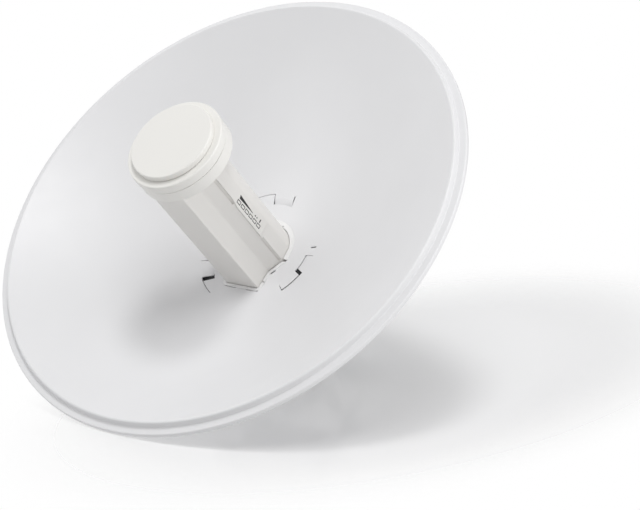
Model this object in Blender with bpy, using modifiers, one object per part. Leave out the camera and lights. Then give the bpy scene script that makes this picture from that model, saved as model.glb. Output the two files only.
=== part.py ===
"""Small outdoor dish antenna: a stamped reflector, its feed tube and the pole clamp behind it.

The row's origin is the middle of the flat rear face of the pole bracket, which bears against the
pole or a wall. +Z is up along the pole, +X is to the right of someone who looks into the bowl
from the front, and the dish looks along -Y.
"""
import math

import bmesh
import bpy
from mathutils import Vector

MM = 0.001
GAP = 0.3 * MM

# Reflector, a sheet stamped to a paraboloid with a stepped rim
DISH_RADIUS = 210.0 * MM
SHEET = 1.0 * MM
FOCAL_LENGTH = 144.0 * MM
FLANGE_WIDTH = 5.2 * MM
STEP_HEIGHT = 4.5 * MM
STEP_WIDTH = 2.6 * MM
CREST_ROUND = 1.6 * MM
FOOT_ROUND = 1.2 * MM
EDGE_ROUND = 1.2 * MM
EDGE_TURN = 3.4 * MM
DISH_STEPS = 96
BOWL_RINGS = 11

# Feed tube, round on top with a narrower keel below
TUBE_RADIUS = 25.3 * MM
TUBE_HALF_WIDTH = 24.6 * MM
SIDE_FACE_DROP = 6.4 * MM
KEEL_HALF_WIDTH = 16.6 * MM
KEEL_SHOULDER = 17.6 * MM
KEEL_DROP = 35.6 * MM
KEEL_CORNER = 1.0 * MM
FEED_REACH = 155.6 * MM
TUBE_TAIL = 15.4 * MM
ROUND_STEPS = 8

# Cap on the tube's front end
CAP_RADIUS = 41.4 * MM
CAP_RING_HEIGHT = 8.2 * MM
CAP_DISC_RADIUS = 35.4 * MM
CAP_DISC_HEIGHT = 5.0 * MM
CAP_EDGE_ROUND = 1.4 * MM
COLLAR_RADIUS = 40.9 * MM
COLLAR_LENGTH = 11.0 * MM
CAP_STEPS = 56

# Raised pads on the tube's two side faces
PAD_THICKNESS = 0.8 * MM
PAD_HEIGHT = 11.0 * MM
PAD_START = 40.6 * MM
PAD_BEVEL = 1.8 * MM

# Socket lip round the tube, where it goes through the bowl, thicker round the tube than its keel
SOCKET_CLEARANCE = 0.5 * MM
SOCKET_WALL = 4.4 * MM
SOCKET_KEEL_WALL = 2.6 * MM
SOCKET_FRONT = 2.4 * MM
SOCKET_DEPTH = 6.8 * MM

# Lock slots cut through the bowl, one row for each: angle, turn, inner and outer span, window
LOCK_INNER_RADIUS = 45.0 * MM
LOCK_OUTER_RADIUS = 54.0 * MM
LOCK_SLOT_WIDTH = 1.2 * MM
LOCK_SLOTS = (
    (-13.0, 1, 24.0, 18.0, 1.6 * MM),
    (107.0, -1, 18.5, 22.0, 3.4 * MM),
    (-135.0, 1, 22.0, 18.0, 3.4 * MM),
)
DRAIN_SLOT_ANGLE = 79.0
DRAIN_SLOT_LENGTH = 5.6 * MM
DRAIN_SLOT_WIDTH = 1.8 * MM

# Housing behind the bowl
HOUSING_RADIUS = 52.0 * MM
HOUSING_FLANGE = 6.0 * MM
HOUSING_FLANGE_THICKNESS = 3.0 * MM
HOUSING_DEPTH = 28.0 * MM
HOUSING_WALL = 2.4 * MM
HOUSING_TAPER = 4.0 * MM
HOUSING_EDGE_ROUND = 3.0 * MM
HOUSING_STEPS = 48
PORT_WIDTH = 40.0 * MM
PORT_DROP = 13.0 * MM
PORT_LENGTH = 17.0 * MM
PORT_BEVEL = 2.5 * MM
PLUG_RADIUS = 5.5 * MM
PLUG_LENGTH = 4.0 * MM
PLUG_BEVEL = 1.6 * MM

# Pad and bracket behind the housing, in folded steel plate
MOUNT_PAD_WIDTH = 66.0 * MM
MOUNT_PAD_HEIGHT = 62.0 * MM
MOUNT_PAD_THICKNESS = 3.0 * MM
PLATE = 2.5 * MM
BRACKET_WIDTH = 60.0 * MM
BRACKET_HEIGHT = 56.0 * MM
BRACKET_DEPTH = 29.0 * MM
EAR_ROUND = 8.0 * MM
CORNER_ROUND = 5.0 * MM
PIVOT_DROP = 14.0 * MM
LOCK_RISE = 14.0 * MM
TILT_RANGE = 20.0
SCREW_RADIUS = 2.5 * MM
SCREW_HEAD_RADIUS = 4.4 * MM
SCREW_HEAD_HEIGHT = 3.0 * MM
SCREW_HEAD_RIM = 1.4 * MM
SCREW_SPACING_X = 36.0 * MM
SCREW_SPACING_Z = 40.0 * MM
SIDE_BOLT_RADIUS = 3.0 * MM
SIDE_BOLT_HEAD = 5.6 * MM
SIDE_BOLT_HEAD_HEIGHT = 3.8 * MM
SIDE_NUT_HEIGHT = 4.2 * MM

# Pole clamp
POLE_RADIUS = 25.0 * MM
POLE_PLATE_MARGIN = 11.0 * MM
POLE_PLATE_HEIGHT = 72.0 * MM
CLAMP_BOLT_RADIUS = 3.8 * MM
CLAMP_HEAD_RADIUS = 8.0 * MM
CLAMP_HEAD_HEIGHT = 3.4 * MM
CLAMP_BOLT_SPARE = 6.0 * MM
CLAMP_NUT_RADIUS = 7.4 * MM
CLAMP_NUT_HEIGHT = 6.4 * MM
WASHER_RADIUS = 8.6 * MM
WASHER_THICKNESS = 1.5 * MM
JAW_THICKNESS = 3.0 * MM
JAW_HEIGHT = 38.0 * MM
JAW_WING_Y = 28.0 * MM
JAW_BACK_CLEARANCE = 2.0 * MM
JAW_MARGIN = 1.0 * MM
HOLE_CLEARANCE = 0.4 * MM
BOLT_STEPS = 16
HOLE_STEPS = 16

# The clamp bolts stand just clear of the jaw's vee, and the pole plate reaches past them
VEE_REACH = POLE_RADIUS * (1 + math.sqrt(2))
CLAMP_BOLT_X = (VEE_REACH + JAW_THICKNESS * math.sqrt(2) - JAW_WING_Y - JAW_THICKNESS
                + WASHER_RADIUS + JAW_MARGIN)
POLE_PLATE_WIDTH = 2 * (CLAMP_BOLT_X + POLE_PLATE_MARGIN)



def bowl_height(radius):
    """The front of the bowl above its vertex, at a radius."""
    return radius ** 2 / (4 * FOCAL_LENGTH)


def bowl_back(radius):
    """The back of the bowl's sheet above the vertex, at a radius."""
    slope = radius / (2 * FOCAL_LENGTH)
    return bowl_height(radius) - SHEET * math.hypot(1.0, slope)


# Places along the depth, worked out from the pole plate forwards
HOUSING_FRONT = bowl_back(HOUSING_RADIUS - HOUSING_WALL) - GAP
FLANGE_BACK = HOUSING_FRONT - HOUSING_FLANGE_THICKNESS
MOUNT_PAD_FRONT = -BRACKET_DEPTH - GAP - MOUNT_PAD_THICKNESS
HOUSING_BACK = MOUNT_PAD_FRONT - GAP
VERTEX_Y = HOUSING_BACK - HOUSING_DEPTH + HOUSING_FRONT


def clear_scene():
    """Remove every object of the scene."""
    for old in list(bpy.data.objects):
        bpy.data.objects.remove(old, do_unlink=True)


def make_material(name, colour, roughness, metallic=0.0):
    """A plain Principled material."""
    material = bpy.data.materials.new(name)
    material.use_nodes = True
    shader = material.node_tree.nodes["Principled BSDF"]
    shader.inputs["Base Color"].default_value = (*colour, 1.0)
    shader.inputs["Roughness"].default_value = roughness
    shader.inputs["Metallic"].default_value = metallic
    return material


clear_scene()
PARTS = bpy.data.collections.new("dish_antenna")
CUTTERS = bpy.data.collections.new("cutters")
bpy.context.scene.collection.children.link(PARTS)
bpy.context.scene.collection.children.link(CUTTERS)

WHITE_PAINT = (0.83, 0.84, 0.86)
WHITE_PLASTIC = (0.80, 0.79, 0.76)
PALE_PLASTIC = (0.72, 0.72, 0.71)
DARK_RUBBER = (0.04, 0.04, 0.045)
ZINC = (0.62, 0.63, 0.65)


def new_object(name, data, colour, roughness, metallic=0.0, parent=None):
    """Link a mesh or curve as a named sub-part with a material of its own."""
    obj = bpy.data.objects.new(name, data)
    PARTS.objects.link(obj)
    obj.parent = parent
    data.materials.append(make_material(name, colour, roughness, metallic))
    return obj


def new_cutter(name, mesh, parent=None):
    """Link a mesh as a cutter, which is kept out of the model."""
    obj = bpy.data.objects.new(name, mesh)
    CUTTERS.objects.link(obj)
    obj.parent = parent
    obj.hide_render = True
    obj.display_type = 'WIRE'
    return obj


def polar(radius, degrees):
    """A point at a radius and a clock angle, measured from the top towards +X."""
    angle = math.radians(degrees)
    return radius * math.sin(angle), radius * math.cos(angle)


def circle(radius, points, centre=(0.0, 0.0)):
    """A round outline."""
    turn = math.tau / points
    return [(centre[0] + radius * math.cos(turn * i), centre[1] + radius * math.sin(turn * i))
            for i in range(points)]


def rounded_box(width, height, radius, points=4, centre=(0.0, 0.0)):
    """A rectangle whose corners are rounded."""
    outline = []
    for corner, (sx, sy) in enumerate(((1, 1), (-1, 1), (-1, -1), (1, -1))):
        for i in range(points + 1):
            angle = math.radians(90 * corner + 90 * i / points)
            outline.append((centre[0] + sx * (width / 2 - radius) + radius * math.cos(angle),
                            centre[1] + sy * (height / 2 - radius) + radius * math.sin(angle)))
    return outline


def outline_mesh(name, loops, low, high):
    """Fill flat loops, the later ones as holes, and raise them along Z from low to high."""
    curve = bpy.data.curves.new(name, 'CURVE')
    curve.dimensions = '2D'
    curve.fill_mode = 'BOTH'
    curve.extrude = (high - low) / 2
    for loop in loops:
        spline = curve.splines.new('POLY')
        spline.points.add(len(loop) - 1)
        for point, (x, y) in zip(spline.points, loop):
            point.co = (x, y, 0.0, 1.0)
        spline.use_cyclic_u = True
    guide = bpy.data.objects.new(name + "_outline", curve)
    CUTTERS.objects.link(guide)
    guide.location.z = (low + high) / 2
    bpy.context.view_layer.update()
    depsgraph = bpy.context.evaluated_depsgraph_get()
    mesh = bpy.data.meshes.new_from_object(guide.evaluated_get(depsgraph))
    mesh.name = name
    mesh.transform(guide.matrix_world)
    bpy.data.objects.remove(guide)
    body = bmesh.new()
    body.from_mesh(mesh)
    bmesh.ops.remove_doubles(body, verts=body.verts, dist=0.01 * MM)
    bmesh.ops.recalc_face_normals(body, faces=body.faces)
    body.to_mesh(mesh)
    body.free()
    return mesh


def turned_mesh(name, profile):
    """A profile in XZ, from the top centre down its outer side, for a Screw modifier."""
    mesh = bpy.data.meshes.new(name)
    body = bmesh.new()
    points = [body.verts.new((x, 0.0, z)) for x, z in profile]
    for first, second in zip(points, points[1:]):
        body.edges.new((first, second))
    body.to_mesh(mesh)
    body.free()
    return mesh


def add_screw(obj, steps):
    """Turn the profile round the object's Z axis."""
    screw = obj.modifiers.new("turn", 'SCREW')
    screw.axis = 'Z'
    screw.angle = math.tau
    screw.steps = steps
    screw.render_steps = steps
    screw.use_merge_vertices = True
    screw.merge_threshold = 0.00001
    screw.use_smooth_shade = True
    return screw


def add_boolean(obj, cutter, operation='DIFFERENCE'):
    """Cut or join with another mesh object."""
    cut = obj.modifiers.new(cutter.name, 'BOOLEAN')
    cut.operation = operation
    cut.solver = 'EXACT'
    cut.object = cutter
    return cut


def arc(centre, radius, start, stop, points):
    """Points along an arc, with angles in degrees from +X towards +Y."""
    step = (stop - start) / points
    return [(centre[0] + radius * math.cos(math.radians(start + step * i)),
             centre[1] + radius * math.sin(math.radians(start + step * i)))
            for i in range(points + 1)]


def dome(radius, rise, base=0.0, points=3):
    """The profile of a domed head, from its top centre out to its edge."""
    sphere = (radius ** 2 + rise ** 2) / (2 * rise)
    edge = math.degrees(math.asin((sphere - rise) / sphere))
    return arc((0.0, base + rise - sphere), sphere, 90.0, edge, points)


def tube_outline(spread=0.0, keel_spread=None):
    """The feed tube's section seen from the front, or that section spread outwards.

    The keel below the slanted faces may spread by a distance of its own.
    """
    if keel_spread is None:
        keel_spread = spread
    radius = TUBE_RADIUS + spread
    half_width = TUBE_HALF_WIDTH + spread
    keel = KEEL_HALF_WIDTH + keel_spread
    lean = math.atan2(TUBE_HALF_WIDTH - KEEL_HALF_WIDTH, KEEL_SHOULDER - SIDE_FACE_DROP)
    along, across = math.sin(lean), math.cos(lean)
    offset = across * TUBE_HALF_WIDTH + along * SIDE_FACE_DROP + spread
    start = math.degrees(math.acos(half_width / radius))
    corner = KEEL_CORNER + keel_spread
    low = -KEEL_DROP - keel_spread
    right = arc((0.0, 0.0), radius, 90.0, start, ROUND_STEPS)
    right += [(x, (across * x - offset) / along) for x in (half_width, keel)]
    right += arc((keel - corner, low + corner), corner, 0.0, -90.0, 3)
    left = [(-x, y) for x, y in reversed(right[1:])]
    return right + left


def band_outline(path, width):
    """The outline of a band of even width along a bent path."""
    sides = ([], [])
    for i, point in enumerate(path):
        before = Vector(point) - Vector(path[i - 1]) if i else None
        after = Vector(path[i + 1]) - Vector(point) if i + 1 < len(path) else None
        first = (before or after).normalized()
        second = (after or before).normalized()
        across = Vector((-first.y - second.y, first.x + second.x)).normalized()
        reach = width / 2 / max(0.5, across.dot(Vector((-first.y, first.x))))
        sides[0].append(tuple(Vector(point) + across * reach))
        sides[1].append(tuple(Vector(point) - across * reach))
    return sides[0] + sides[1][::-1]


def dish_profile():
    """The front of the sheet, from the bowl's vertex out to the edge."""
    flange_inner = DISH_RADIUS - EDGE_ROUND - FLANGE_WIDTH
    crest_radius = flange_inner - STEP_WIDTH
    crest_slope = math.atan(crest_radius / (2 * FOCAL_LENGTH))
    step_slope = math.atan2(STEP_HEIGHT, STEP_WIDTH)
    bowl_end = crest_radius - CREST_ROUND * math.sin(crest_slope)
    crest_centre = bowl_height(bowl_end) - CREST_ROUND * math.cos(crest_slope)
    flange_height = crest_centre + CREST_ROUND - STEP_HEIGHT
    profile = [(radius, bowl_height(radius))
               for radius in (bowl_end * i / BOWL_RINGS for i in range(BOWL_RINGS))]
    profile += arc((crest_radius, crest_centre), CREST_ROUND,
                   90.0 + math.degrees(crest_slope), 90.0 - math.degrees(step_slope), 3)
    foot = (flange_inner + FOOT_ROUND * math.tan(step_slope / 2), flange_height + FOOT_ROUND)
    profile += arc(foot, FOOT_ROUND, -90.0 - math.degrees(step_slope), -90.0, 2)
    profile += arc((DISH_RADIUS - EDGE_ROUND, flange_height - EDGE_ROUND), EDGE_ROUND,
                   90.0, 0.0, 2)
    profile.append((DISH_RADIUS, flange_height - EDGE_TURN))
    return profile


def lock_slot_path(angle, turn, inner_span, outer_span):
    """The bent line of one lock slot, round a sheet tab and back along the next one."""
    inner_end = angle + turn * inner_span
    outer_end = angle - turn * outer_span
    pieces = 5
    path = [polar(LOCK_OUTER_RADIUS, inner_end)]
    path += [polar(LOCK_INNER_RADIUS, inner_end + (angle - inner_end) * i / pieces)
             for i in range(pieces + 1)]
    path += [polar(LOCK_OUTER_RADIUS, angle + (outer_end - angle) * i / pieces)
             for i in range(pieces + 1)]
    return path


def radial_slot(inner, outer, degrees, width):
    """A straight slot along a radius."""
    return band_outline([polar(inner, degrees), polar(outer, degrees)], width)


def cut_bowl(dish, frame):
    """Cut the tube's opening, the lock slots and the drain slot through the bowl."""
    reach = bowl_height(LOCK_OUTER_RADIUS) + 2 * SHEET
    outlines = {"tube_opening": socket_outline(GAP)}
    for i, (angle, turn, inner_span, outer_span, window) in enumerate(LOCK_SLOTS, 1):
        path = lock_slot_path(angle, turn, inner_span, outer_span)
        outlines[f"lock_slot_{i}"] = band_outline(path, LOCK_SLOT_WIDTH)
        outlines[f"lock_window_{i}"] = radial_slot(
            LOCK_INNER_RADIUS - LOCK_SLOT_WIDTH / 2, LOCK_OUTER_RADIUS + LOCK_SLOT_WIDTH / 2,
            angle, window)
    outlines["drain_slot"] = radial_slot(
        LOCK_OUTER_RADIUS - DRAIN_SLOT_LENGTH, LOCK_OUTER_RADIUS, DRAIN_SLOT_ANGLE,
        DRAIN_SLOT_WIDTH)
    for name, outline in outlines.items():
        mesh = outline_mesh(name, [outline], -2 * SHEET, reach)
        add_boolean(dish, new_cutter(name, mesh, frame))


def make_reflector(frame):
    """The stamped sheet dish."""
    dish = new_object("reflector_dish", turned_mesh("reflector_dish", dish_profile()),
                      WHITE_PAINT, 0.45, parent=frame)
    add_screw(dish, DISH_STEPS)
    wall = dish.modifiers.new("sheet", 'SOLIDIFY')
    wall.thickness = SHEET
    wall.offset = -1.0
    wall.use_even_offset = True
    cut_bowl(dish, frame)
    return dish


def feed_heights():
    """Where the cap's pieces and the tube start and end in front of the vertex."""
    disc_low = FEED_REACH - CAP_DISC_HEIGHT
    ring_high = disc_low - GAP
    ring_low = ring_high - CAP_RING_HEIGHT
    collar_high = ring_low - GAP
    collar_low = collar_high - COLLAR_LENGTH
    return disc_low, ring_high, ring_low, collar_high, collar_low


def make_feed(frame):
    """The feed tube with its side pads and its stepped round cap."""
    disc_low, ring_high, ring_low, collar_high, collar_low = feed_heights()
    tube_high = collar_low - GAP
    mesh = outline_mesh("feed_tube", [tube_outline()], -TUBE_TAIL, tube_high)
    new_object("feed_tube", mesh, WHITE_PLASTIC, 0.4, parent=frame)
    make_disc("feed_collar", COLLAR_RADIUS, collar_low, collar_high, CAP_EDGE_ROUND / 2, frame)
    make_disc("feed_cap_ring", CAP_RADIUS, ring_low, ring_high, CAP_EDGE_ROUND, frame)
    make_disc("feed_cap_disc", CAP_DISC_RADIUS, disc_low, FEED_REACH, CAP_EDGE_ROUND / 2, frame)
    top = math.sqrt(TUBE_RADIUS ** 2 - TUBE_HALF_WIDTH ** 2)
    middle = (top - SIDE_FACE_DROP) / 2
    for side, name in ((1, "label_pad_right"), (-1, "label_pad_left")):
        make_pad(name, side, middle, tube_high, frame)


def make_disc(name, radius, low, high, edge_round, frame):
    """A solid turned disc whose front edge is rounded."""
    profile = [(0.0, high)]
    profile += arc((radius - edge_round, high - edge_round), edge_round, 90.0, 0.0, 3)
    profile += [(radius, low), (0.0, low)]
    disc = new_object(name, turned_mesh(name, profile), WHITE_PLASTIC, 0.38, parent=frame)
    add_screw(disc, CAP_STEPS)
    return disc


def make_pad(name, side, middle, tube_high, frame):
    """A raised pad on one side face, bevelled at its lower end."""
    out = side * PAD_THICKNESS
    outline = [(0.0, PAD_START), (out, PAD_START + PAD_BEVEL),
               (out, tube_high - GAP), (0.0, tube_high - GAP)]
    mesh = outline_mesh(name, [outline], -PAD_HEIGHT / 2, PAD_HEIGHT / 2)
    pad = new_object(name, mesh, WHITE_PLASTIC, 0.38, parent=frame)
    pad.rotation_euler = (math.pi / 2, 0.0, 0.0)
    pad.location = (side * (TUBE_HALF_WIDTH + GAP), middle, 0.0)
    return pad


def socket_outline(spread=0.0):
    """The socket lip's outer outline, or that outline spread by a distance."""
    inner = SOCKET_CLEARANCE + spread
    return tube_outline(inner + SOCKET_WALL, inner + SOCKET_KEEL_WALL)


def make_socket(frame):
    """The moulded lip that the tube goes through, proud of the bowl on both sides."""
    loops = [socket_outline(), tube_outline(SOCKET_CLEARANCE)]
    mesh = outline_mesh("feed_socket", loops, SOCKET_FRONT - SOCKET_DEPTH, SOCKET_FRONT)
    return new_object("feed_socket", mesh, WHITE_PLASTIC, 0.42, parent=frame)


def make_housing(frame):
    """The moulded cup that covers the tube's tail, its flange sloped to the bowl's back."""
    back = HOUSING_FRONT - HOUSING_DEPTH
    small = HOUSING_RADIUS - HOUSING_TAPER
    rim = HOUSING_RADIUS + HOUSING_FLANGE
    profile = [(HOUSING_RADIUS - HOUSING_WALL, HOUSING_FRONT),
               (rim, bowl_back(rim) - GAP), (rim, FLANGE_BACK), (HOUSING_RADIUS, FLANGE_BACK)]
    profile += arc((small - HOUSING_EDGE_ROUND, back + HOUSING_EDGE_ROUND), HOUSING_EDGE_ROUND,
                   0.0, -90.0, 3)
    profile += [(0.0, back), (0.0, back + HOUSING_WALL),
                (small - HOUSING_WALL, back + HOUSING_WALL),
                (HOUSING_RADIUS - HOUSING_WALL, HOUSING_FRONT)]
    mesh = turned_mesh("rear_housing", profile)
    housing = new_object("rear_housing", mesh, WHITE_PLASTIC, 0.42, parent=frame)
    add_screw(housing, HOUSING_STEPS)
    return housing


def make_port(frame):
    """The cable port's cover under the housing, and the plug that closes it."""
    top = HOUSING_RADIUS / 2
    bottom = HOUSING_RADIUS + PORT_DROP
    high = FLANGE_BACK - GAP
    outline = rounded_box(PORT_WIDTH, bottom - top, PORT_BEVEL, centre=(0.0, -(top + bottom) / 2))
    mesh = outline_mesh("port_cover", [outline], high - PORT_LENGTH, high)
    cover = new_object("port_cover", mesh, PALE_PLASTIC, 0.42, parent=frame)
    room = bpy.data.meshes.new("port_room")
    body = bmesh.new()
    reach = HOUSING_DEPTH
    slope = HOUSING_TAPER / (HOUSING_DEPTH - HOUSING_FLANGE_THICKNESS - HOUSING_EDGE_ROUND)
    bmesh.ops.create_cone(body, cap_ends=True, segments=HOUSING_STEPS,
                          radius1=HOUSING_RADIUS + GAP - slope * reach,
                          radius2=HOUSING_RADIUS + GAP + slope * reach, depth=2 * reach)
    body.to_mesh(room)
    body.free()
    cutter = new_cutter("port_room", room, frame)
    cutter.location.z = FLANGE_BACK
    add_boolean(cover, cutter)
    profile = [(0.0, 0.0), (PLUG_RADIUS, 0.0), (PLUG_RADIUS, PLUG_BEVEL - PLUG_LENGTH),
               (PLUG_RADIUS - PLUG_BEVEL, -PLUG_LENGTH), (0.0, -PLUG_LENGTH)]
    plug = new_object("port_plug", turned_mesh("port_plug", profile), DARK_RUBBER, 0.7,
                      parent=frame)
    add_screw(plug, BOLT_STEPS)
    plug.rotation_euler = (-math.pi / 2, 0.0, 0.0)
    plug.location = (0.0, -bottom - GAP, high - PORT_LENGTH / 2)


def make_mount_pad():
    """The flat moulded pad between the housing and the steel bracket."""
    holes = [circle(SCREW_RADIUS + HOLE_CLEARANCE, HOLE_STEPS, centre)
             for centre in screw_places()]
    outline = rounded_box(MOUNT_PAD_WIDTH, MOUNT_PAD_HEIGHT, CORNER_ROUND)
    mesh = outline_mesh("mount_pad", [outline] + holes, 0.0, MOUNT_PAD_THICKNESS)
    pad = new_object("mount_pad", mesh, PALE_PLASTIC, 0.45)
    pad.rotation_euler = (math.pi / 2, 0.0, 0.0)
    pad.location.y = MOUNT_PAD_FRONT + MOUNT_PAD_THICKNESS
    return pad


def screw_places():
    """The four screws that hold the bracket, in X and Z."""
    return [(sx * SCREW_SPACING_X / 2, sz * SCREW_SPACING_Z / 2)
            for sx in (1, -1) for sz in (1, -1)]


def ear_outline(reach, base):
    """One ear of a bracket seen from the side: Y along its reach, Z up."""
    half = BRACKET_HEIGHT / 2
    outline = [(base, -half), (base, half)]
    outline += arc((base + reach - EAR_ROUND, half - EAR_ROUND), EAR_ROUND, 90.0, 0.0, 4)
    outline += arc((base + reach - EAR_ROUND, EAR_ROUND - half), EAR_ROUND, 0.0, -90.0, 4)
    return outline


def pivot_place():
    """The pivot's place in Y and Z, halfway between the two bracket plates."""
    return -BRACKET_DEPTH / 2, -PIVOT_DROP


def lock_place():
    """The lock bolt's place in Y and Z."""
    return -BRACKET_DEPTH / 2, LOCK_RISE


def join_ears(obj, meshes, places):
    """Join ears, made flat in YZ, to a bracket's plate."""
    for i, (mesh, x) in enumerate(zip(meshes, places), 1):
        ear = new_cutter(f"{obj.name}_ear_{i}", mesh)
        ear.rotation_euler = (math.pi / 2, 0.0, math.pi / 2)
        ear.location.x = x
        add_boolean(obj, ear, 'UNION')


def make_tilt_bracket():
    """The folded bracket on the housing, its ears slotted for the lock bolts."""
    holes = [circle(SCREW_RADIUS + HOLE_CLEARANCE, HOLE_STEPS, centre)
             for centre in screw_places()]
    outline = rounded_box(BRACKET_WIDTH, BRACKET_HEIGHT, PLATE, 1)
    mesh = outline_mesh("tilt_bracket", [outline] + holes, 0.0, PLATE)
    bracket = new_object("tilt_bracket", mesh, ZINC, 0.35, 0.9)
    bracket.rotation_euler = (math.pi / 2, 0.0, 0.0)
    bracket.location.y = -BRACKET_DEPTH + PLATE
    reach = BRACKET_DEPTH / 2 + EAR_ROUND
    hole = SIDE_BOLT_RADIUS + HOLE_CLEARANCE
    pivot = pivot_place()
    swing = LOCK_RISE + PIVOT_DROP
    slot = band_outline(arc(pivot, swing, 90.0 - TILT_RANGE / 2, 90.0 + TILT_RANGE / 2, 6),
                        2 * hole)
    loops = [ear_outline(reach, -BRACKET_DEPTH + PLATE / 2), circle(hole, HOLE_STEPS, pivot), slot]
    ears = [outline_mesh("tilt_ear", loops, 0.0, PLATE) for _ in range(2)]
    join_ears(bracket, ears, (BRACKET_WIDTH / 2 - PLATE, -BRACKET_WIDTH / 2))
    return bracket


def make_pole_bracket():
    """The folded bracket against the pole, its ears between those of the tilt bracket."""
    holes = [circle(CLAMP_BOLT_RADIUS + HOLE_CLEARANCE, HOLE_STEPS, (side * CLAMP_BOLT_X, 0.0))
             for side in (1, -1)]
    outline = rounded_box(POLE_PLATE_WIDTH, POLE_PLATE_HEIGHT, CORNER_ROUND)
    mesh = outline_mesh("pole_bracket", [outline] + holes, 0.0, PLATE)
    bracket = new_object("pole_bracket", mesh, ZINC, 0.35, 0.9)
    bracket.rotation_euler = (math.pi / 2, 0.0, 0.0)
    reach = BRACKET_DEPTH / 2 + EAR_ROUND
    hole = SIDE_BOLT_RADIUS + HOLE_CLEARANCE
    pivot = (-pivot_place()[0], pivot_place()[1])
    lock = (-lock_place()[0], lock_place()[1])
    loops = [[(-y, z) for y, z in loop]
             for loop in (ear_outline(reach, PLATE / 2), circle(hole, HOLE_STEPS, pivot),
                          circle(hole, HOLE_STEPS, lock))]
    ears = [outline_mesh("pole_ear", loops, 0.0, PLATE) for _ in range(2)]
    outer = BRACKET_WIDTH / 2 - PLATE - GAP
    join_ears(bracket, ears, (outer - PLATE, -outer))
    return bracket


def make_bolt(name, head_radius, head_height, radius, length, colour=ZINC):
    """A hexagon head bolt along -Z, with the underside of its head at zero."""
    head = outline_mesh(name, [circle(head_radius, 6)], 0.0, head_height)
    bolt = new_object(name, head, colour, 0.3, 0.9)
    shank = outline_mesh(name + "_shank", [circle(radius, BOLT_STEPS)], -length,
                         head_height / 2)
    joint = new_cutter(name + "_shank", shank, bolt)
    add_boolean(bolt, joint, 'UNION')
    return bolt


def make_nut(name, nut_radius, height, hole, colour=ZINC):
    """A hexagon nut from zero up along Z."""
    mesh = outline_mesh(name, [circle(nut_radius, 6), circle(hole, HOLE_STEPS)], 0.0, height)
    return new_object(name, mesh, colour, 0.3, 0.9)


def make_screws():
    """The four screws that hold the bracket to the housing's pad."""
    tip = -PLATE - GAP - MOUNT_PAD_THICKNESS / 2
    for i, (x, z) in enumerate(screw_places(), 1):
        profile = dome(SCREW_HEAD_RADIUS, SCREW_HEAD_HEIGHT - SCREW_HEAD_RIM, SCREW_HEAD_RIM)
        profile += [(SCREW_HEAD_RADIUS, 0.0), (SCREW_RADIUS, 0.0), (SCREW_RADIUS, tip),
                    (0.0, tip)]
        name = f"bracket_screw_{i}"
        screw = new_object(name, turned_mesh(name, profile), ZINC, 0.3, 0.9)
        add_screw(screw, BOLT_STEPS)
        screw.rotation_euler = (-math.pi / 2, 0.0, 0.0)
        screw.location = (x, -BRACKET_DEPTH + PLATE + GAP, z)


def make_side_bolts():
    """The pivot and lock bolts on both sides, with their nuts inside the brackets."""
    outer = BRACKET_WIDTH / 2 + GAP
    inner = BRACKET_WIDTH / 2 - 2 * PLATE - 2 * GAP
    hole = SIDE_BOLT_RADIUS + GAP
    length = outer - inner + SIDE_NUT_HEIGHT
    for label, (y, z) in (("pivot", pivot_place()), ("lock", lock_place())):
        for side, word in ((1, "right"), (-1, "left")):
            bolt = make_bolt(f"{label}_bolt_{word}", SIDE_BOLT_HEAD, SIDE_BOLT_HEAD_HEIGHT,
                             SIDE_BOLT_RADIUS, length)
            bolt.rotation_euler = (0.0, side * math.pi / 2, 0.0)
            bolt.location = (side * outer, y, z)
            nut = make_nut(f"{label}_nut_{word}", SIDE_BOLT_HEAD, SIDE_NUT_HEIGHT, hole)
            nut.rotation_euler = (0.0, -side * math.pi / 2, 0.0)
            nut.location = (side * inner, y, z)


def jaw_outline():
    """The clamp jaw seen from above: two wings and a vee that holds the pole."""
    back = 2 * POLE_RADIUS + JAW_BACK_CLEARANCE
    wing_end = CLAMP_BOLT_X + WASHER_RADIUS + JAW_MARGIN
    inner = [(wing_end, JAW_WING_Y), (VEE_REACH - JAW_WING_Y, JAW_WING_Y),
             (VEE_REACH - back, back)]
    path = inner + [(-x, y) for x, y in reversed(inner)]
    shifted = [(x, y + JAW_THICKNESS / 2) for x, y in path]
    return band_outline(shifted, JAW_THICKNESS)


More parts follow.
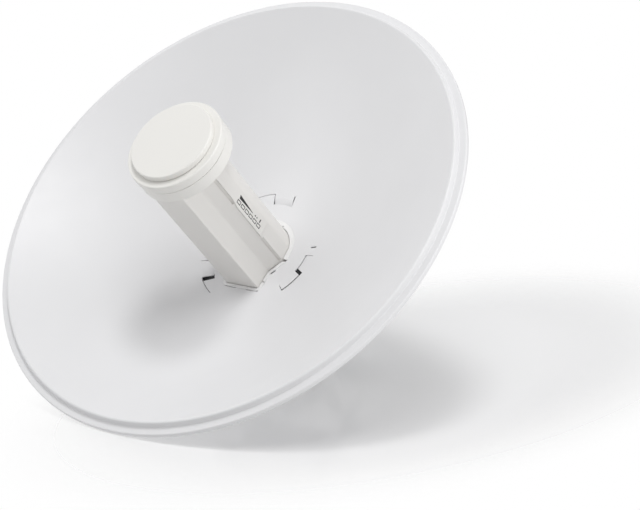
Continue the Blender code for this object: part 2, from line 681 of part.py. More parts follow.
def make_clamp():
    """The jaw behind the pole, and the two long bolts that pull it up."""
    jaw = new_object("clamp_jaw", outline_mesh("clamp_jaw", [jaw_outline()], -JAW_HEIGHT / 2,
                                               JAW_HEIGHT / 2), ZINC, 0.35, 0.9)
    jaw_back = JAW_WING_Y + JAW_THICKNESS
    washer_at = jaw_back + GAP
    nut_at = washer_at + WASHER_THICKNESS + GAP
    bolt_end = nut_at + CLAMP_NUT_HEIGHT + CLAMP_BOLT_SPARE
    head_at = -PLATE - GAP
    hole = CLAMP_BOLT_RADIUS + HOLE_CLEARANCE
    for side, word in ((1, "right"), (-1, "left")):
        x = side * CLAMP_BOLT_X
        drill = new_cutter(f"clamp_hole_{word}",
                           outline_mesh("clamp_hole", [circle(hole, HOLE_STEPS)],
                                        -2 * JAW_THICKNESS, 2 * JAW_THICKNESS))
        drill.rotation_euler = (math.pi / 2, 0.0, 0.0)
        drill.location = (x, JAW_WING_Y + JAW_THICKNESS / 2, 0.0)
        add_boolean(jaw, drill)
        name = f"clamp_bolt_{word}"
        profile = dome(CLAMP_HEAD_RADIUS, CLAMP_HEAD_HEIGHT)
        profile += [(CLAMP_BOLT_RADIUS, 0.0), (CLAMP_BOLT_RADIUS, head_at - bolt_end),
                    (0.0, head_at - bolt_end)]
        bolt = new_object(name, turned_mesh(name, profile), ZINC, 0.3, 0.9)
        add_screw(bolt, BOLT_STEPS)
        bolt.rotation_euler = (math.pi / 2, 0.0, 0.0)
        bolt.location = (x, head_at, 0.0)
        for piece, radius, points, height, place in (
                ("washer", WASHER_RADIUS, 24, WASHER_THICKNESS, washer_at),
                ("nut", CLAMP_NUT_RADIUS, 6, CLAMP_NUT_HEIGHT, nut_at)):
            loops = [circle(radius, points), circle(CLAMP_BOLT_RADIUS + GAP, HOLE_STEPS)]
            mesh = outline_mesh(f"clamp_{piece}_{word}", loops, 0.0, height)
            ring = new_object(f"clamp_{piece}_{word}", mesh, ZINC, 0.3, 0.9)
            ring.rotation_euler = (-math.pi / 2, 0.0, 0.0)
            ring.location = (x, place, 0.0)


def make_frame():
    """An empty at the bowl's vertex whose Z runs along the dish's line of sight."""
    frame = bpy.data.objects.new("dish_frame", None)
    PARTS.objects.link(frame)
    frame.rotation_euler = (math.pi / 2, 0.0, 0.0)
    frame.location = (0.0, VERTEX_Y, 0.0)
    return frame


def shade_round_pieces():
    """Smooth the turned pieces and keep their edges sharp."""
    for obj in PARTS.objects:
        if obj.type == 'MESH':
            obj.data.shade_smooth()
            if obj.data.polygons:
                obj.data.set_sharp_from_angle(angle=math.radians(35))


def main():
    """Build the whole antenna."""
    frame = make_frame()
    make_reflector(frame)
    make_feed(frame)
    make_socket(frame)
    make_housing(frame)
    make_port(frame)
    make_mount_pad()
    make_tilt_bracket()
    make_pole_bracket()
    make_screws()
    make_side_bolts()
    make_clamp()
    shade_round_pieces()


main()
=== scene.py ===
"""Small outdoor dish antenna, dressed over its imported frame.

The frame's nodes are in metres: +Z up along the pole, +X to the right of someone who looks into
the bowl, and the bowl looks along -Y. Pieces of the dish are modelled on the bowl's own axis,
with Z ahead of the bowl's vertex, and are then laid into the frame. The bracket's pieces are
modelled where they stay.
"""
from __future__ import annotations

import logging
import math
from dataclasses import dataclass
from enum import Enum
from itertools import pairwise
from typing import Iterable, Mapping, Sequence

import bpy
from mathutils import Euler, Matrix, Vector

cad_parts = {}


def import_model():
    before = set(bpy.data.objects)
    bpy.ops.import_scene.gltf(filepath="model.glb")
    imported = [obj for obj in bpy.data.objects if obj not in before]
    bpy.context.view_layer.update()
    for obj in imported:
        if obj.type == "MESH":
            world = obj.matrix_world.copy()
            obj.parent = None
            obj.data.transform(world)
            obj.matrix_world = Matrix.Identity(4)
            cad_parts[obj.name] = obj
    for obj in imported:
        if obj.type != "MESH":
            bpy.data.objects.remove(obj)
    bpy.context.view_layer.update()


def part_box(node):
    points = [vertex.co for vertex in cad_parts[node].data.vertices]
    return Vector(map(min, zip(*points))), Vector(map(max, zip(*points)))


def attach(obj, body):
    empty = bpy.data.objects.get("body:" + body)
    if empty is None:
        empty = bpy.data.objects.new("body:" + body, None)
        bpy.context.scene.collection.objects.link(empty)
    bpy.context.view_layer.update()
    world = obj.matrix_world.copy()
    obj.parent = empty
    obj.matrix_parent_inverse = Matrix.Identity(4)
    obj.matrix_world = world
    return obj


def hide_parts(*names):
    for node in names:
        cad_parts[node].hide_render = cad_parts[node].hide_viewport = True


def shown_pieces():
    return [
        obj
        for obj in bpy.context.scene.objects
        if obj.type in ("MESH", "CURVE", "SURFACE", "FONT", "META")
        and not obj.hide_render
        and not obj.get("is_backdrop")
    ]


LOG = logging.getLogger("dish_antenna")

MM = 0.001
SEAM = 0.3 * MM
WELD = 0.001 * MM

# Angles in degrees from which an edge stays sharp when a piece is shaded smooth
MOULDED_CREASE = 30.0
FOLDED_CREASE = 35.0
FASTENER_CREASE = 38.0

# The least cosine of half a bend that a band's mitre follows
SHARPEST_MITRE = 0.5

# The values between which nearly all of a noise pattern lies
NOISE_VALLEY, NOISE_PEAK = 0.3, 0.7

# The numbers of a colour mix's own inputs and output
MIX_FACTOR, MIX_FIRST, MIX_SECOND, MIX_RESULT = 0, 6, 7, 2

Point = tuple[float, float]
Place = tuple[float, float, float]
Piece = bpy.types.Object
Socket = bpy.types.NodeSocket


class Slot(Enum):
    """The record's material slots."""

    WHITE_PAINT = "white_paint"
    WHITE_PLASTIC = "white_plastic"
    PALE_PLASTIC = "pale_plastic"
    ZINC_STEEL = "zinc_steel"
    DARK_RUBBER = "dark_rubber"


class Side(Enum):
    """The two sides of the antenna, as the sign of X."""

    RIGHT = 1
    LEFT = -1

    @property
    def word(self) -> str:
        """The side's name in a node's name."""
        return self.name.lower()


# Modelling at the bench

def pick(piece: Piece) -> None:
    """Select one piece alone and make it the active one.

    Args:
        piece: The piece that the next operators act on.
    """
    bpy.ops.object.select_all(action='DESELECT')
    piece.select_set(True)
    bpy.context.view_layer.objects.active = piece


def open_mesh(piece: Piece, action: str = 'SELECT') -> None:
    """Enter a piece's edit mode with all of it selected, or with nothing.

    Args:
        piece: The piece.
        action: Blender's name of what is done to the selection.
    """
    pick(piece)
    bpy.ops.object.mode_set(mode='EDIT')
    bpy.ops.mesh.select_all(action=action)


def trace(name: str, places: Sequence[Place], closed: bool = True) -> Piece:
    """Draw a chain of edges, vertex by vertex, and stay in edit mode with all of it selected.

    Args:
        name: The new piece's name.
        places: The chain's vertices.
        closed: Whether the chain comes back to its start.

    Returns:
        The new piece, in edit mode.
    """
    bpy.ops.object.select_all(action='DESELECT')
    bpy.ops.mesh.primitive_plane_add(size=MM, location=places[0])
    piece = bpy.context.object
    piece.name = name
    piece.data.name = name
    open_mesh(piece)
    bpy.ops.mesh.merge(type='CENTER')
    for here, there in pairwise([*places, places[0]] if closed else places):
        step = Vector(there) - Vector(here)
        bpy.ops.mesh.extrude_vertices_move(TRANSFORM_OT_translate={"value": step})
    bpy.ops.mesh.select_all(action='SELECT')
    bpy.ops.mesh.remove_doubles(threshold=WELD)
    return piece


def close_mesh() -> None:
    """Merge what meets, turn the faces outwards and leave edit mode."""
    bpy.ops.mesh.select_all(action='SELECT')
    bpy.ops.mesh.remove_doubles(threshold=WELD)
    bpy.ops.mesh.normals_make_consistent(inside=False)
    bpy.ops.object.mode_set(mode='OBJECT')


def settle(piece: Piece) -> None:
    """Put a piece's place, turn and scale into its mesh.

    Args:
        piece: The piece, which ends at the origin.
    """
    pick(piece)
    bpy.ops.object.transform_apply(location=True, rotation=True, scale=True)


def thicken(piece: Piece, rise: Place) -> None:
    """Raise the selected faces, close the mesh and settle the piece.

    Args:
        piece: The piece, in edit mode.
        rise: How far, and which way, the faces are raised.
    """
    bpy.ops.mesh.extrude_region_move(TRANSFORM_OT_translate={"value": rise})
    close_mesh()
    settle(piece)


def slab(name: str, outline: Sequence[Place], rise: Place) -> Piece:
    """Fill a closed outline and raise it to a prism.

    Args:
        name: The new piece's name.
        outline: The outline's corners.
        rise: How far, and which way, the face is raised.

    Returns:
        A closed prism.
    """
    piece = trace(name, outline)
    bpy.ops.mesh.edge_face_add()
    thicken(piece, rise)
    return piece


def prism(name: str, outline: Sequence[Point], low: float, high: float) -> Piece:
    """Raise an outline in XY from one height to another.

    Args:
        name: The new piece's name.
        outline: The outline's corners in X and Y.
        low: The height of the lower face.
        high: The height of the upper face.

    Returns:
        A closed prism.
    """
    return slab(name, [(x, y, low) for x, y in outline], (0.0, 0.0, high - low))


def turned(name: str, profile: Sequence[Point], steps: int, closed: bool = True) -> Piece:
    """Spin a profile round the Z axis.

    Args:
        name: The new piece's name.
        profile: Radius and height of each point.
        steps: How many sides the turned piece has.
        closed: Whether the profile is a closed one.

    Returns:
        The turned piece. An open profile that starts and ends on the axis is closed too.
    """
    piece = trace(name, [(radius, 0.0, height) for radius, height in profile], closed)
    bpy.ops.mesh.spin(steps=steps, angle=math.tau, center=(0.0, 0.0, 0.0), axis=(0.0, 0.0, 1.0))
    close_mesh()
    settle(piece)
    return piece


def apply(piece: Piece, modifier: bpy.types.Modifier) -> None:
    """Apply a modifier to its piece.

    Args:
        piece: The piece that has the modifier.
        modifier: The modifier.
    """
    pick(piece)
    bpy.ops.object.modifier_apply(modifier=modifier.name)


def discard(*pieces: Piece) -> None:
    """Remove pieces that are used up.

    Args:
        *pieces: The pieces.
    """
    for piece in pieces:
        bpy.data.objects.remove(piece, do_unlink=True)


def combine(piece: Piece, tools: Iterable[Piece], operation: str = 'DIFFERENCE') -> None:
    """Cut, join or trim a piece with others, which are used up.

    Args:
        piece: The piece that stays.
        tools: The pieces that it is cut, joined or trimmed with.
        operation: Blender's name of the boolean operation.
    """
    tool = joined("tool", list(tools))
    modifier = piece.modifiers.new("combine", 'BOOLEAN')
    modifier.operation = operation
    modifier.solver = 'EXACT'
    modifier.object = tool
    apply(piece, modifier)
    discard(tool)


def soften(piece: Piece, width: float, segments: int = 2, angle: float = 40.0) -> None:
    """Round a piece's sharp edges a little.

    Args:
        piece: The piece.
        width: The width of the rounding.
        segments: How many facets the rounding has.
        angle: The least angle in degrees between two faces whose edge is rounded.
    """
    bevel = piece.modifiers.new("soften", 'BEVEL')
    bevel.width = width
    bevel.segments = segments
    bevel.limit_method = 'ANGLE'
    bevel.angle_limit = math.radians(angle)
    bevel.miter_outer = 'MITER_ARC'
    apply(piece, bevel)


def smooth(piece: Piece, angle: float = FOLDED_CREASE) -> None:
    """Shade a piece smooth between its sharp edges, with flat faces kept flat.

    Args:
        piece: The piece.
        angle: The angle in degrees from which an edge is sharp.
    """
    pick(piece)
    bpy.ops.object.shade_smooth_by_angle(angle=math.radians(angle))
    weigh = piece.modifiers.new("weigh", 'WEIGHTED_NORMAL')
    weigh.keep_sharp = True
    apply(piece, weigh)


def shift(piece: Piece, members: Iterable[int], step: Place) -> None:
    """Select some of a piece's vertices and move them.

    Args:
        piece: The piece, which lies at the origin.
        members: The vertices' indices.
        step: How far they are moved.
    """
    open_mesh(piece, 'DESELECT')
    bpy.ops.object.mode_set(mode='OBJECT')
    for index in members:
        piece.data.vertices[index].select = True
    bpy.ops.object.mode_set(mode='EDIT')
    bpy.ops.transform.translate(value=step)
    bpy.ops.object.mode_set(mode='OBJECT')


def put(piece: Piece, matrix: Matrix) -> Piece:
    """Move a piece by a matrix and settle it.

    Args:
        piece: The piece.
        matrix: The matrix that takes it to its place.

    Returns:
        The same piece.
    """
    piece.matrix_world = matrix @ piece.matrix_world
    settle(piece)
    return piece


def stand(place: Place, turn: Place = (0.0, 0.0, 0.0)) -> Matrix:
    """The matrix of a place and a turn.

    Args:
        place: Where the piece's own origin goes.
        turn: Its turns round X, Y and Z in degrees.

    Returns:
        The matrix.
    """
    angles = Euler([math.radians(angle) for angle in turn])
    return Matrix.Translation(place) @ angles.to_matrix().to_4x4()


def copy_of(piece: Piece, name: str, matrix: Matrix) -> Piece:
    """Copy a piece with a mesh of its own and move the copy.

    Args:
        piece: The piece to copy.
        name: The copy's name.
        matrix: The matrix that takes the copy to its place.

    Returns:
        The copy.
    """
    pick(piece)
    bpy.ops.object.duplicate(linked=False)
    copy = bpy.context.object
    copy.name = name
    copy.data.name = name
    return put(copy, matrix)


def joined(name: str, pieces: Sequence[Piece]) -> Piece:
    """Make one or more pieces one object.

    Args:
        name: The object's name.
        pieces: The pieces.

    Returns:
        The one object.
    """
    pick(pieces[0])
    if len(pieces) > 1:
        for piece in pieces:
            piece.select_set(True)
        bpy.ops.object.join()
    pieces[0].name = name
    pieces[0].data.name = name
    return pieces[0]


# Outlines

def arc(centre: Point, radius: float, start: float, stop: float, steps: int) -> list[Point]:
    """Points along an arc.

    Args:
        centre: The arc's centre.
        radius: Its radius.
        start: The first point's angle in degrees, from the first axis to the second.
        stop: The last point's angle in degrees.
        steps: How many pieces the arc has.

    Returns:
        The points, both ends among them.
    """
    angles = [math.radians(start + (stop - start) * i / steps) for i in range(steps + 1)]
    return [(centre[0] + radius * math.cos(a), centre[1] + radius * math.sin(a)) for a in angles]


def circle(radius: float, steps: int, centre: Point = (0.0, 0.0)) -> list[Point]:
    """A round outline.

    Args:
        radius: Its radius.
        steps: How many sides it has.
        centre: Its centre.

    Returns:
        The outline's points.
    """
    return arc(centre, radius, 0.0, 360.0 * (steps - 1) / steps, steps - 1)


def rounded_box(width: float, height: float, radius: float, centre: Point = (0.0, 0.0),
                steps: int = 8) -> list[Point]:
    """A rectangle with rounded corners.

    Args:
        width: Its width.
        height: Its height.
        radius: The radius of its corners.
        centre: Its centre.
        steps: How many pieces each corner has.

    Returns:
        The outline's points.
    """
    outline = []
    for quarter, (sx, sy) in enumerate(((1, 1), (-1, 1), (-1, -1), (1, -1))):
        corner = (centre[0] + sx * (width / 2 - radius), centre[1] + sy * (height / 2 - radius))
        outline += arc(corner, radius, 90.0 * quarter, 90.0 * quarter + 90.0, steps)
    return outline


def polar(radius: float, degrees: float) -> Point:
    """A point at a radius and a clock angle, measured from the top towards +X.

    Args:
        radius: The point's radius.
        degrees: The clock angle.

    Returns:
        The point in X and Y.
    """
    angle = math.radians(degrees)
    return radius * math.sin(angle), radius * math.cos(angle)


def band(path: Sequence[Point], width: float) -> list[Point]:
    """The outline of a band of even width along a bent path.

    Args:
        path: The path's points.
        width: The band's width.

    Returns:
        The outline's points.
    """
    sides: tuple[list[Point], list[Point]] = ([], [])
    runs = [(Vector(b) - Vector(a)).normalized() for a, b in pairwise(path)]
    for point, before, after in zip(path, [runs[0], *runs], [*runs, runs[-1]]):
        across = Vector((-before.y - after.y, before.x + after.x)).normalized()
        reach = width / 2 / max(SHARPEST_MITRE, across.dot(Vector((-before.y, before.x))))
        sides[0].append(tuple(Vector(point) + across * reach))
        sides[1].append(tuple(Vector(point) - across * reach))
    return sides[0] + sides[1][::-1]


# Finishes

class Wiring:
    """Adds the nodes of a material or of the surround and joins them."""

    def __init__(self, tree: bpy.types.NodeTree) -> None:
        """Start on a tree of nodes.

        Args:
            tree: The tree that the nodes go into.
        """
        self.tree = tree

    def feed(self, target: Socket, value: object) -> None:
        """Join an output to an input, or give the input a constant value.

        Args:
            target: The input.
            value: The output or the value.
        """
        if isinstance(value, Socket):
            self.tree.links.new(value, target)
        else:
            target.default_value = value

    def node(self, kind: str, feeds: Mapping[str | int, object] | None = None,
             **settings: object) -> bpy.types.Node:
        """Add a node and feed its inputs.

        Args:
            kind: Blender's name of the node's type.
            feeds: An output or a value for each input that has one, by name or number.
            **settings: Values of the node's own properties.

        Returns:
            The node.
        """
        node = self.tree.nodes.new(kind)
        for name, value in settings.items():
            setattr(node, name, value)
        for key, value in (feeds or {}).items():
            self.feed(node.inputs[key], value)
        return node

    def math(self, operation: str, *values: object) -> Socket:
        """Work a number out.

        Args:
            operation: Blender's name of the operation.
            *values: The outputs or values that it takes.

        Returns:
            The number's output.
        """
        return self.node("ShaderNodeMath", dict(enumerate(values)),
                         operation=operation).outputs["Value"]

    def mixed(self, factor: object, first: Socket, second: Socket) -> Socket:
        """Mix two shaders.

        Args:
            factor: The share of the second, as an output or a value.
            first: The first shader's output.
            second: The second shader's output.

        Returns:
            The mixed shader's output.
        """
        return self.node("ShaderNodeMixShader",
                         {0: factor, 1: first, 2: second}).outputs["Shader"]


class Shader(Wiring):
    """A material under its Principled shader, and the patterns that feed it."""

    def __init__(self, name: str) -> None:
        """Start a material whose patterns lie on Object coordinates.

        Args:
            name: The material's name.
        """
        self.material = bpy.data.materials.new(name)
        self.material.use_nodes = True
        super().__init__(self.material.node_tree)
        self.surface = self.tree.nodes["Principled BSDF"]
        self.coordinates = self.node("ShaderNodeTexCoord").outputs["Object"]

    def fix(self, sockets: Iterable[tuple[str, float]]) -> None:
        """Set constant values on the shader's own sockets.

        Args:
            sockets: The name and the value of each socket.
        """
        for name, value in sockets:
            self.feed(self.surface.inputs[name], value)

    def stretched(self, scale: Place) -> Socket:
        """The piece's own coordinates, stretched by factors along X, Y and Z."""
        return self.node("ShaderNodeMapping",
                         {"Vector": self.coordinates, "Scale": scale}).outputs["Vector"]

    def noise(self, scale: float, detail: float = 2.0,
              stretch: Place = (1.0, 1.0, 1.0)) -> Socket:
        """A noise pattern on the piece.

        Args:
            scale: Waves in a metre.
            detail: How many finer layers it has.
            stretch: Factors along X, Y and Z.

        Returns:
            The pattern's value.
        """
        return self.node("ShaderNodeTexNoise", {
            "Vector": self.stretched(stretch), "Scale": scale, "Detail": detail}).outputs["Fac"]

    def spread(self, pattern: Socket, low: float, high: float) -> Socket:
        """Spread a noise pattern over a range of values.

        Args:
            pattern: The pattern.
            low: The value of its valleys.
            high: The value of its peaks.

        Returns:
            The spread value.
        """
        return self.node("ShaderNodeMapRange", {
            "Value": pattern, "From Min": NOISE_VALLEY, "From Max": NOISE_PEAK,
            "To Min": low, "To Max": high}).outputs["Result"]

    def tint(self, pattern: Socket, first: Place, second: Place) -> None:
        """Let the base colour wander between two colours.

        Args:
            pattern: The pattern that chooses between them.
            first: The colour of its valleys.
            second: The colour of its peaks.
        """
        mix = self.node("ShaderNodeMix", {
            MIX_FACTOR: self.spread(pattern, 0.0, 1.0), MIX_FIRST: (*first, 1.0),
            MIX_SECOND: (*second, 1.0)}, data_type='RGBA')
        self.feed(self.surface.inputs["Base Color"], mix.outputs[MIX_RESULT])

    def relief(self, *layers: Place) -> None:
        """Raise the skin in layers of noise, the coarse ones first.

        Args:
            *layers: Waves in a metre, height in metres and strength of each layer.
        """
        below: dict[str, Socket] = {}
        for scale, height, strength in layers:
            bump = self.node("ShaderNodeBump", {
                "Strength": strength, "Distance": height, "Height": self.noise(scale, 1.0),
                **below})
            below = {"Normal": bump.outputs["Normal"]}
        self.feed(self.surface.inputs["Normal"], below["Normal"])


@dataclass(frozen=True)
class Skin:
    """What every finish has: two close colours, a range of roughness and a fine relief.

    The clouds of the colour and the patches of the roughness are given in waves in a metre and
    finer layers, and each layer of the relief in waves in a metre, height and strength.
    """

    name: str
    colour: Place
    shade: Place
    slot: Slot | None = None
    roughness: Point = (0.4, 0.5)
    clouds: Point = (22.0, 3.0)
    patches: Point = (90.0, 3.0)
    stretch: Place = (1.0, 1.0, 1.0)
    layers: tuple[Place, ...] = ()
    sockets: tuple[tuple[str, float], ...] = ()

    def build(self) -> bpy.types.Material:
        """Make the material.

        Returns:
            The material.
        """
        shader = Shader(self.name)
        shader.tint(shader.noise(*self.clouds), self.shade, self.colour)
        patches = shader.noise(*self.patches, self.stretch)
        shader.feed(shader.surface.inputs["Roughness"], shader.spread(patches, *self.roughness))
        shader.relief(*self.layers)
        shader.fix(self.sockets)
        return shader.material


@dataclass(frozen=True)
class PowderCoat(Skin):
    """Cool white powder coat on the stamped bowl, with its fine orange peel."""

    name: str = "white_powder_coat"
    colour: Place = (0.80, 0.80, 0.812)
    shade: Place = (0.785, 0.785, 0.797)
    slot: Slot | None = Slot.WHITE_PAINT
    roughness: Point = (0.42, 0.5)
    clouds: Point = (14.0, 2.0)
    patches: Point = (60.0, 3.0)
    layers: tuple[Place, ...] = ((28.0, 0.25 * MM, 0.25), (750.0, 0.02 * MM, 0.5))
    sockets: tuple[tuple[str, float], ...] = (("Coat Weight", 0.15), ("Coat Roughness", 0.3))


@dataclass(frozen=True)
class SatinMoulding(Skin):
    """A satin moulded plastic with a fine spark-eroded skin."""

    slot: Slot | None = Slot.WHITE_PLASTIC
    roughness: Point = (0.36, 0.46)
    layers: tuple[Place, ...] = ((45.0, 0.1 * MM, 0.2), (2600.0, 0.012 * MM, 0.5))
    sockets: tuple[tuple[str, float], ...] = (("Specular IOR Level", 0.45),)


@dataclass(frozen=True)
class ZincPlate(Skin):
    """Bright zinc on folded sheet and fasteners, faintly clouded and drawn one way."""

    name: str = "zinc_plate"
    colour: Place = (0.66, 0.675, 0.69)
    shade: Place = (0.54, 0.555, 0.575)
    slot: Slot | None = Slot.ZINC_STEEL
    roughness: Point = (0.28, 0.44)
    clouds: Point = (160.0, 4.0)
    patches: Point = (220.0, 4.0)
    stretch: Place = (1.0, 1.0, 14.0)
    layers: tuple[Place, ...] = ((120.0, 0.05 * MM, 0.25), (1800.0, 0.01 * MM, 0.4))
    sockets: tuple[tuple[str, float], ...] = (("Metallic", 0.95),)


@dataclass(frozen=True)
class MattRubber(Skin):
    """Dark moulded rubber with a dusty bloom."""

    name: str = "dark_rubber"
    colour: Place = (0.035, 0.035, 0.038)
    shade: Place = (0.018, 0.018, 0.02)
    slot: Slot | None = Slot.DARK_RUBBER
    roughness: Point = (0.62, 0.78)
    clouds: Point = (130.0, 4.0)
    patches: Point = (300.0, 3.0)
    layers: tuple[Place, ...] = ((900.0, 0.03 * MM, 0.6),)


@dataclass(frozen=True)
class PrintInk(Skin):
    """Screen-printed ink, slightly uneven over the satin skin."""

    roughness: Point = (0.4, 0.55)
    clouds: Point = (900.0, 2.0)
    patches: Point = (700.0, 2.0)
    layers: tuple[Place, ...] = ((2600.0, 0.01 * MM, 0.4),)


class Finish(Enum):
    """The finishes of the antenna's pieces."""

    POWDER_COAT = PowderCoat()
    WHITE_MOULDING = SatinMoulding("white_moulding", (0.79, 0.775, 0.75), (0.775, 0.76, 0.735))
    # Cap moulding: a lighter copy of the white moulding, painted light that brightens the cap's
    # collar, ring and front disc.
    CAP_MOULDING = SatinMoulding("cap_moulding", (0.83, 0.82, 0.79), (0.82, 0.81, 0.78))
    # Lip moulding: a lighter copy of the white moulding, a painted highlight that makes the lip
    # round the tube brighter than the bowl.
    LIP_MOULDING = SatinMoulding("lip_moulding", (0.87, 0.868, 0.868), (0.855, 0.853, 0.853))
    PALE_MOULDING = SatinMoulding("pale_moulding", (0.66, 0.66, 0.65), (0.63, 0.63, 0.62),
                                  slot=Slot.PALE_PLASTIC, roughness=(0.44, 0.55),
                                  layers=((45.0, 0.1 * MM, 0.2), (1900.0, 0.012 * MM, 0.5)))
    ZINC = ZincPlate()
    RUBBER = MattRubber()
    BLACK_INK = PrintInk("black_ink", (0.012, 0.012, 0.013), (0.02, 0.02, 0.022))
    GREY_INK = PrintInk("grey_ink", (0.05, 0.05, 0.052), (0.075, 0.075, 0.077))

    def material(self) -> bpy.types.Material:
        """The finish's material, made once.

        Returns:
            The material.
        """
        made = bpy.data.materials.get(self.value.name)
        return made or self.value.build()


def dress(piece: Piece, finish: Finish, *nodes: str) -> None:
    """Give a finished piece its material, its body and the nodes that it stands for.

    Args:
        piece: The piece.
        finish: Its finish.
        *nodes: The frame's nodes that it replaces.
    """
    piece.data.materials.clear()
    piece.data.materials.append(finish.material())
    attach(piece, "root")
    if nodes:
        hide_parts(*nodes)
    LOG.info("%s: %d faces, %s", piece.name, len(piece.data.polygons), finish.value.name)


# The bowl and its axis

@dataclass(frozen=True)
class BowlAxis:
    """The paraboloid of the bowl, and the axis that the dish's pieces are modelled on."""

    vertex_y: float
    focal_length: float = 144.0 * MM
    sheet: float = 1.0 * MM

    def front(self, radius: float) -> float:
        """The height of the bowl's front above the vertex at a radius."""
        return radius ** 2 / (4 * self.focal_length)

    def back(self, radius: float) -> float:
        """The height of the sheet's back above the vertex at a radius."""
        return self.front(radius) - self.sheet * math.hypot(1.0, radius / (2 * self.focal_length))

    def lay(self, piece: Piece) -> Piece:
        """Lay a piece, modelled with Z ahead of the vertex, into the frame.

        Args:
            piece: The piece.

        Returns:
            The same piece, settled.
        """
        return put(piece, stand((0.0, self.vertex_y, 0.0), (90.0, 0.0, 0.0)))

    def finish(self, piece: Piece, finish: Finish, *nodes: str) -> None:
        """Lay a finished piece into the frame, shade it smooth and dress it.

        Args:
            piece: The piece.
            finish: Its finish.
            *nodes: The frame's nodes that it replaces.
        """
        self.lay(piece)
        smooth(piece, MOULDED_CREASE)
        dress(piece, finish, *nodes)


@dataclass(frozen=True)
class TubeSection:
    """The feed tube's section: round on top, slanted below its side faces, with a keel."""

    radius: float = 25.3 * MM
    half_width: float = 24.6 * MM
    side_drop: float = 6.4 * MM
    keel_half_width: float = 16.6 * MM
    keel_shoulder: float = 17.6 * MM
    keel_drop: float = 35.6 * MM
    keel_corner: float = 1.0 * MM
    round_steps: int = 28
    corner_steps: int = 6

    @property
    def side_top(self) -> float:
        """The height at which the side faces meet the round top."""
        return math.sqrt(self.radius ** 2 - self.half_width ** 2)

    def outline(self, spread: float = 0.0, slant_spread: float = 0.0,
                keel_spread: float = 0.0) -> list[Point]:
        """The section, or one that stands off it.

        Args:
            spread: How far it stands off round the top and the sides.
            slant_spread: How far it stands off the slanted faces.
            keel_spread: How far it stands off the keel.

        Returns:
            The outline, from the top over the right side round to the left.
        """
        radius, half_width = self.radius + spread, self.half_width + spread
        keel = self.keel_half_width + keel_spread
        lean = math.atan2(self.half_width - self.keel_half_width,
                          self.keel_shoulder - self.side_drop)
        along, across = math.sin(lean), math.cos(lean)
        offset = across * self.half_width + along * self.side_drop + slant_spread
        start = math.degrees(math.acos(half_width / radius))
        corner = self.keel_corner + keel_spread
        low = -self.keel_drop - keel_spread
        right = arc((0.0, 0.0), radius, 90.0, start, self.round_steps)
        right += [(x, (across * x - offset) / along) for x in (half_width, keel)]
        right += arc((keel - corner, low + corner), corner, 0.0, -90.0, self.corner_steps)
        return right + [(-x, y) for x, y in reversed(right[1:])]


@dataclass(frozen=True)
class Tab:
    """A sheet tab beside a lock slot, bent back behind the sheet.

    Its span is in degrees, its droop is how far its free edge is set back, and its bend is how
    far in from that edge it starts to bend.
    """

    span: float
    droop: float
    bend: float
    curl: float = 1.2

    def sink(self, depth: float) -> float:
        """How far the tab is set back at a depth in from its free edge."""
        return self.droop * max(0.0, (self.bend - depth) / self.bend) ** self.curl


@dataclass(frozen=True)
class LockRow:
    """A lock slot through the bowl: a window with a tab on each side, free inside or outside."""

    angle: float
    turn: int
    window: float
    inner: float
    outer: float
    free_inside: Tab
    free_outside: Tab
    hook: float = 0.0
    lean: float = 0.0
    skew: float = 0.0
    wide_end: float = 0.0
    wide_outside: float = 0.0
    steps: int = 12
    wide_steps: int = 10

    @property
    def inner_end(self) -> float:
        """The clock angle at which the tab that is free inside ends."""
        return self.angle + self.turn * self.free_inside.span

    @property
    def outer_end(self) -> float:
        """The clock angle at which the tab that is free outside ends."""
        return self.angle - self.turn * self.free_outside.span

    def path(self) -> list[Point]:
        """The middle line of the slot.

        Returns:
            The line's points.
        """
        line = [polar(self.outer, self.inner_end - self.turn * self.lean)]
        for radius, start, stop in ((self.inner, self.inner_end, self.angle),
                                    (self.outer, self.angle, self.outer_end)):
            line += [polar(radius, start + (stop - start) * i / self.steps)
                     for i in range(self.steps + 1)]
        if self.hook:
            line.append(polar(self.outer - self.hook, self.outer_end))
        return line

    def wide_runs(self) -> list[list[Point]]:
        """The outlines of the runs that are wider than the slot itself.

        Returns:
            The outlines, none if the whole slot is even.
        """
        runs = []
        if self.wide_end:
            runs.append(band([polar(self.inner, self.inner_end),
                              polar(self.outer, self.inner_end - self.turn * self.lean)],
                             self.wide_end))
        if self.wide_outside:
            step = (self.outer_end - self.angle) / self.wide_steps
            runs.append(band([polar(self.outer - self.wide_outside / 2, self.angle + step * i)
                              for i in range(1, self.wide_steps + 1)], self.wide_outside))
        return runs

    def droop(self, x: float, y: float) -> float:
        """How far back a point of the sheet is bent.

        Args:
            x: The point's place across.
            y: Its place up.

        Returns:
            The distance, which is zero off the tabs.
        """
        radius, angle = math.hypot(x, y), math.degrees(math.atan2(x, y))
        if not self.inner < radius < self.outer:
            return 0.0
        lean = self.turn * self.lean * (radius - self.inner) / (self.outer - self.inner)
        for tab, end, depth in (
                (self.free_inside, self.inner_end - lean, radius - self.inner),
                (self.free_outside, self.outer_end, self.outer - radius)):
            if min(self.angle, end) < angle < max(self.angle, end):
                return tab.sink(depth)
        return 0.0


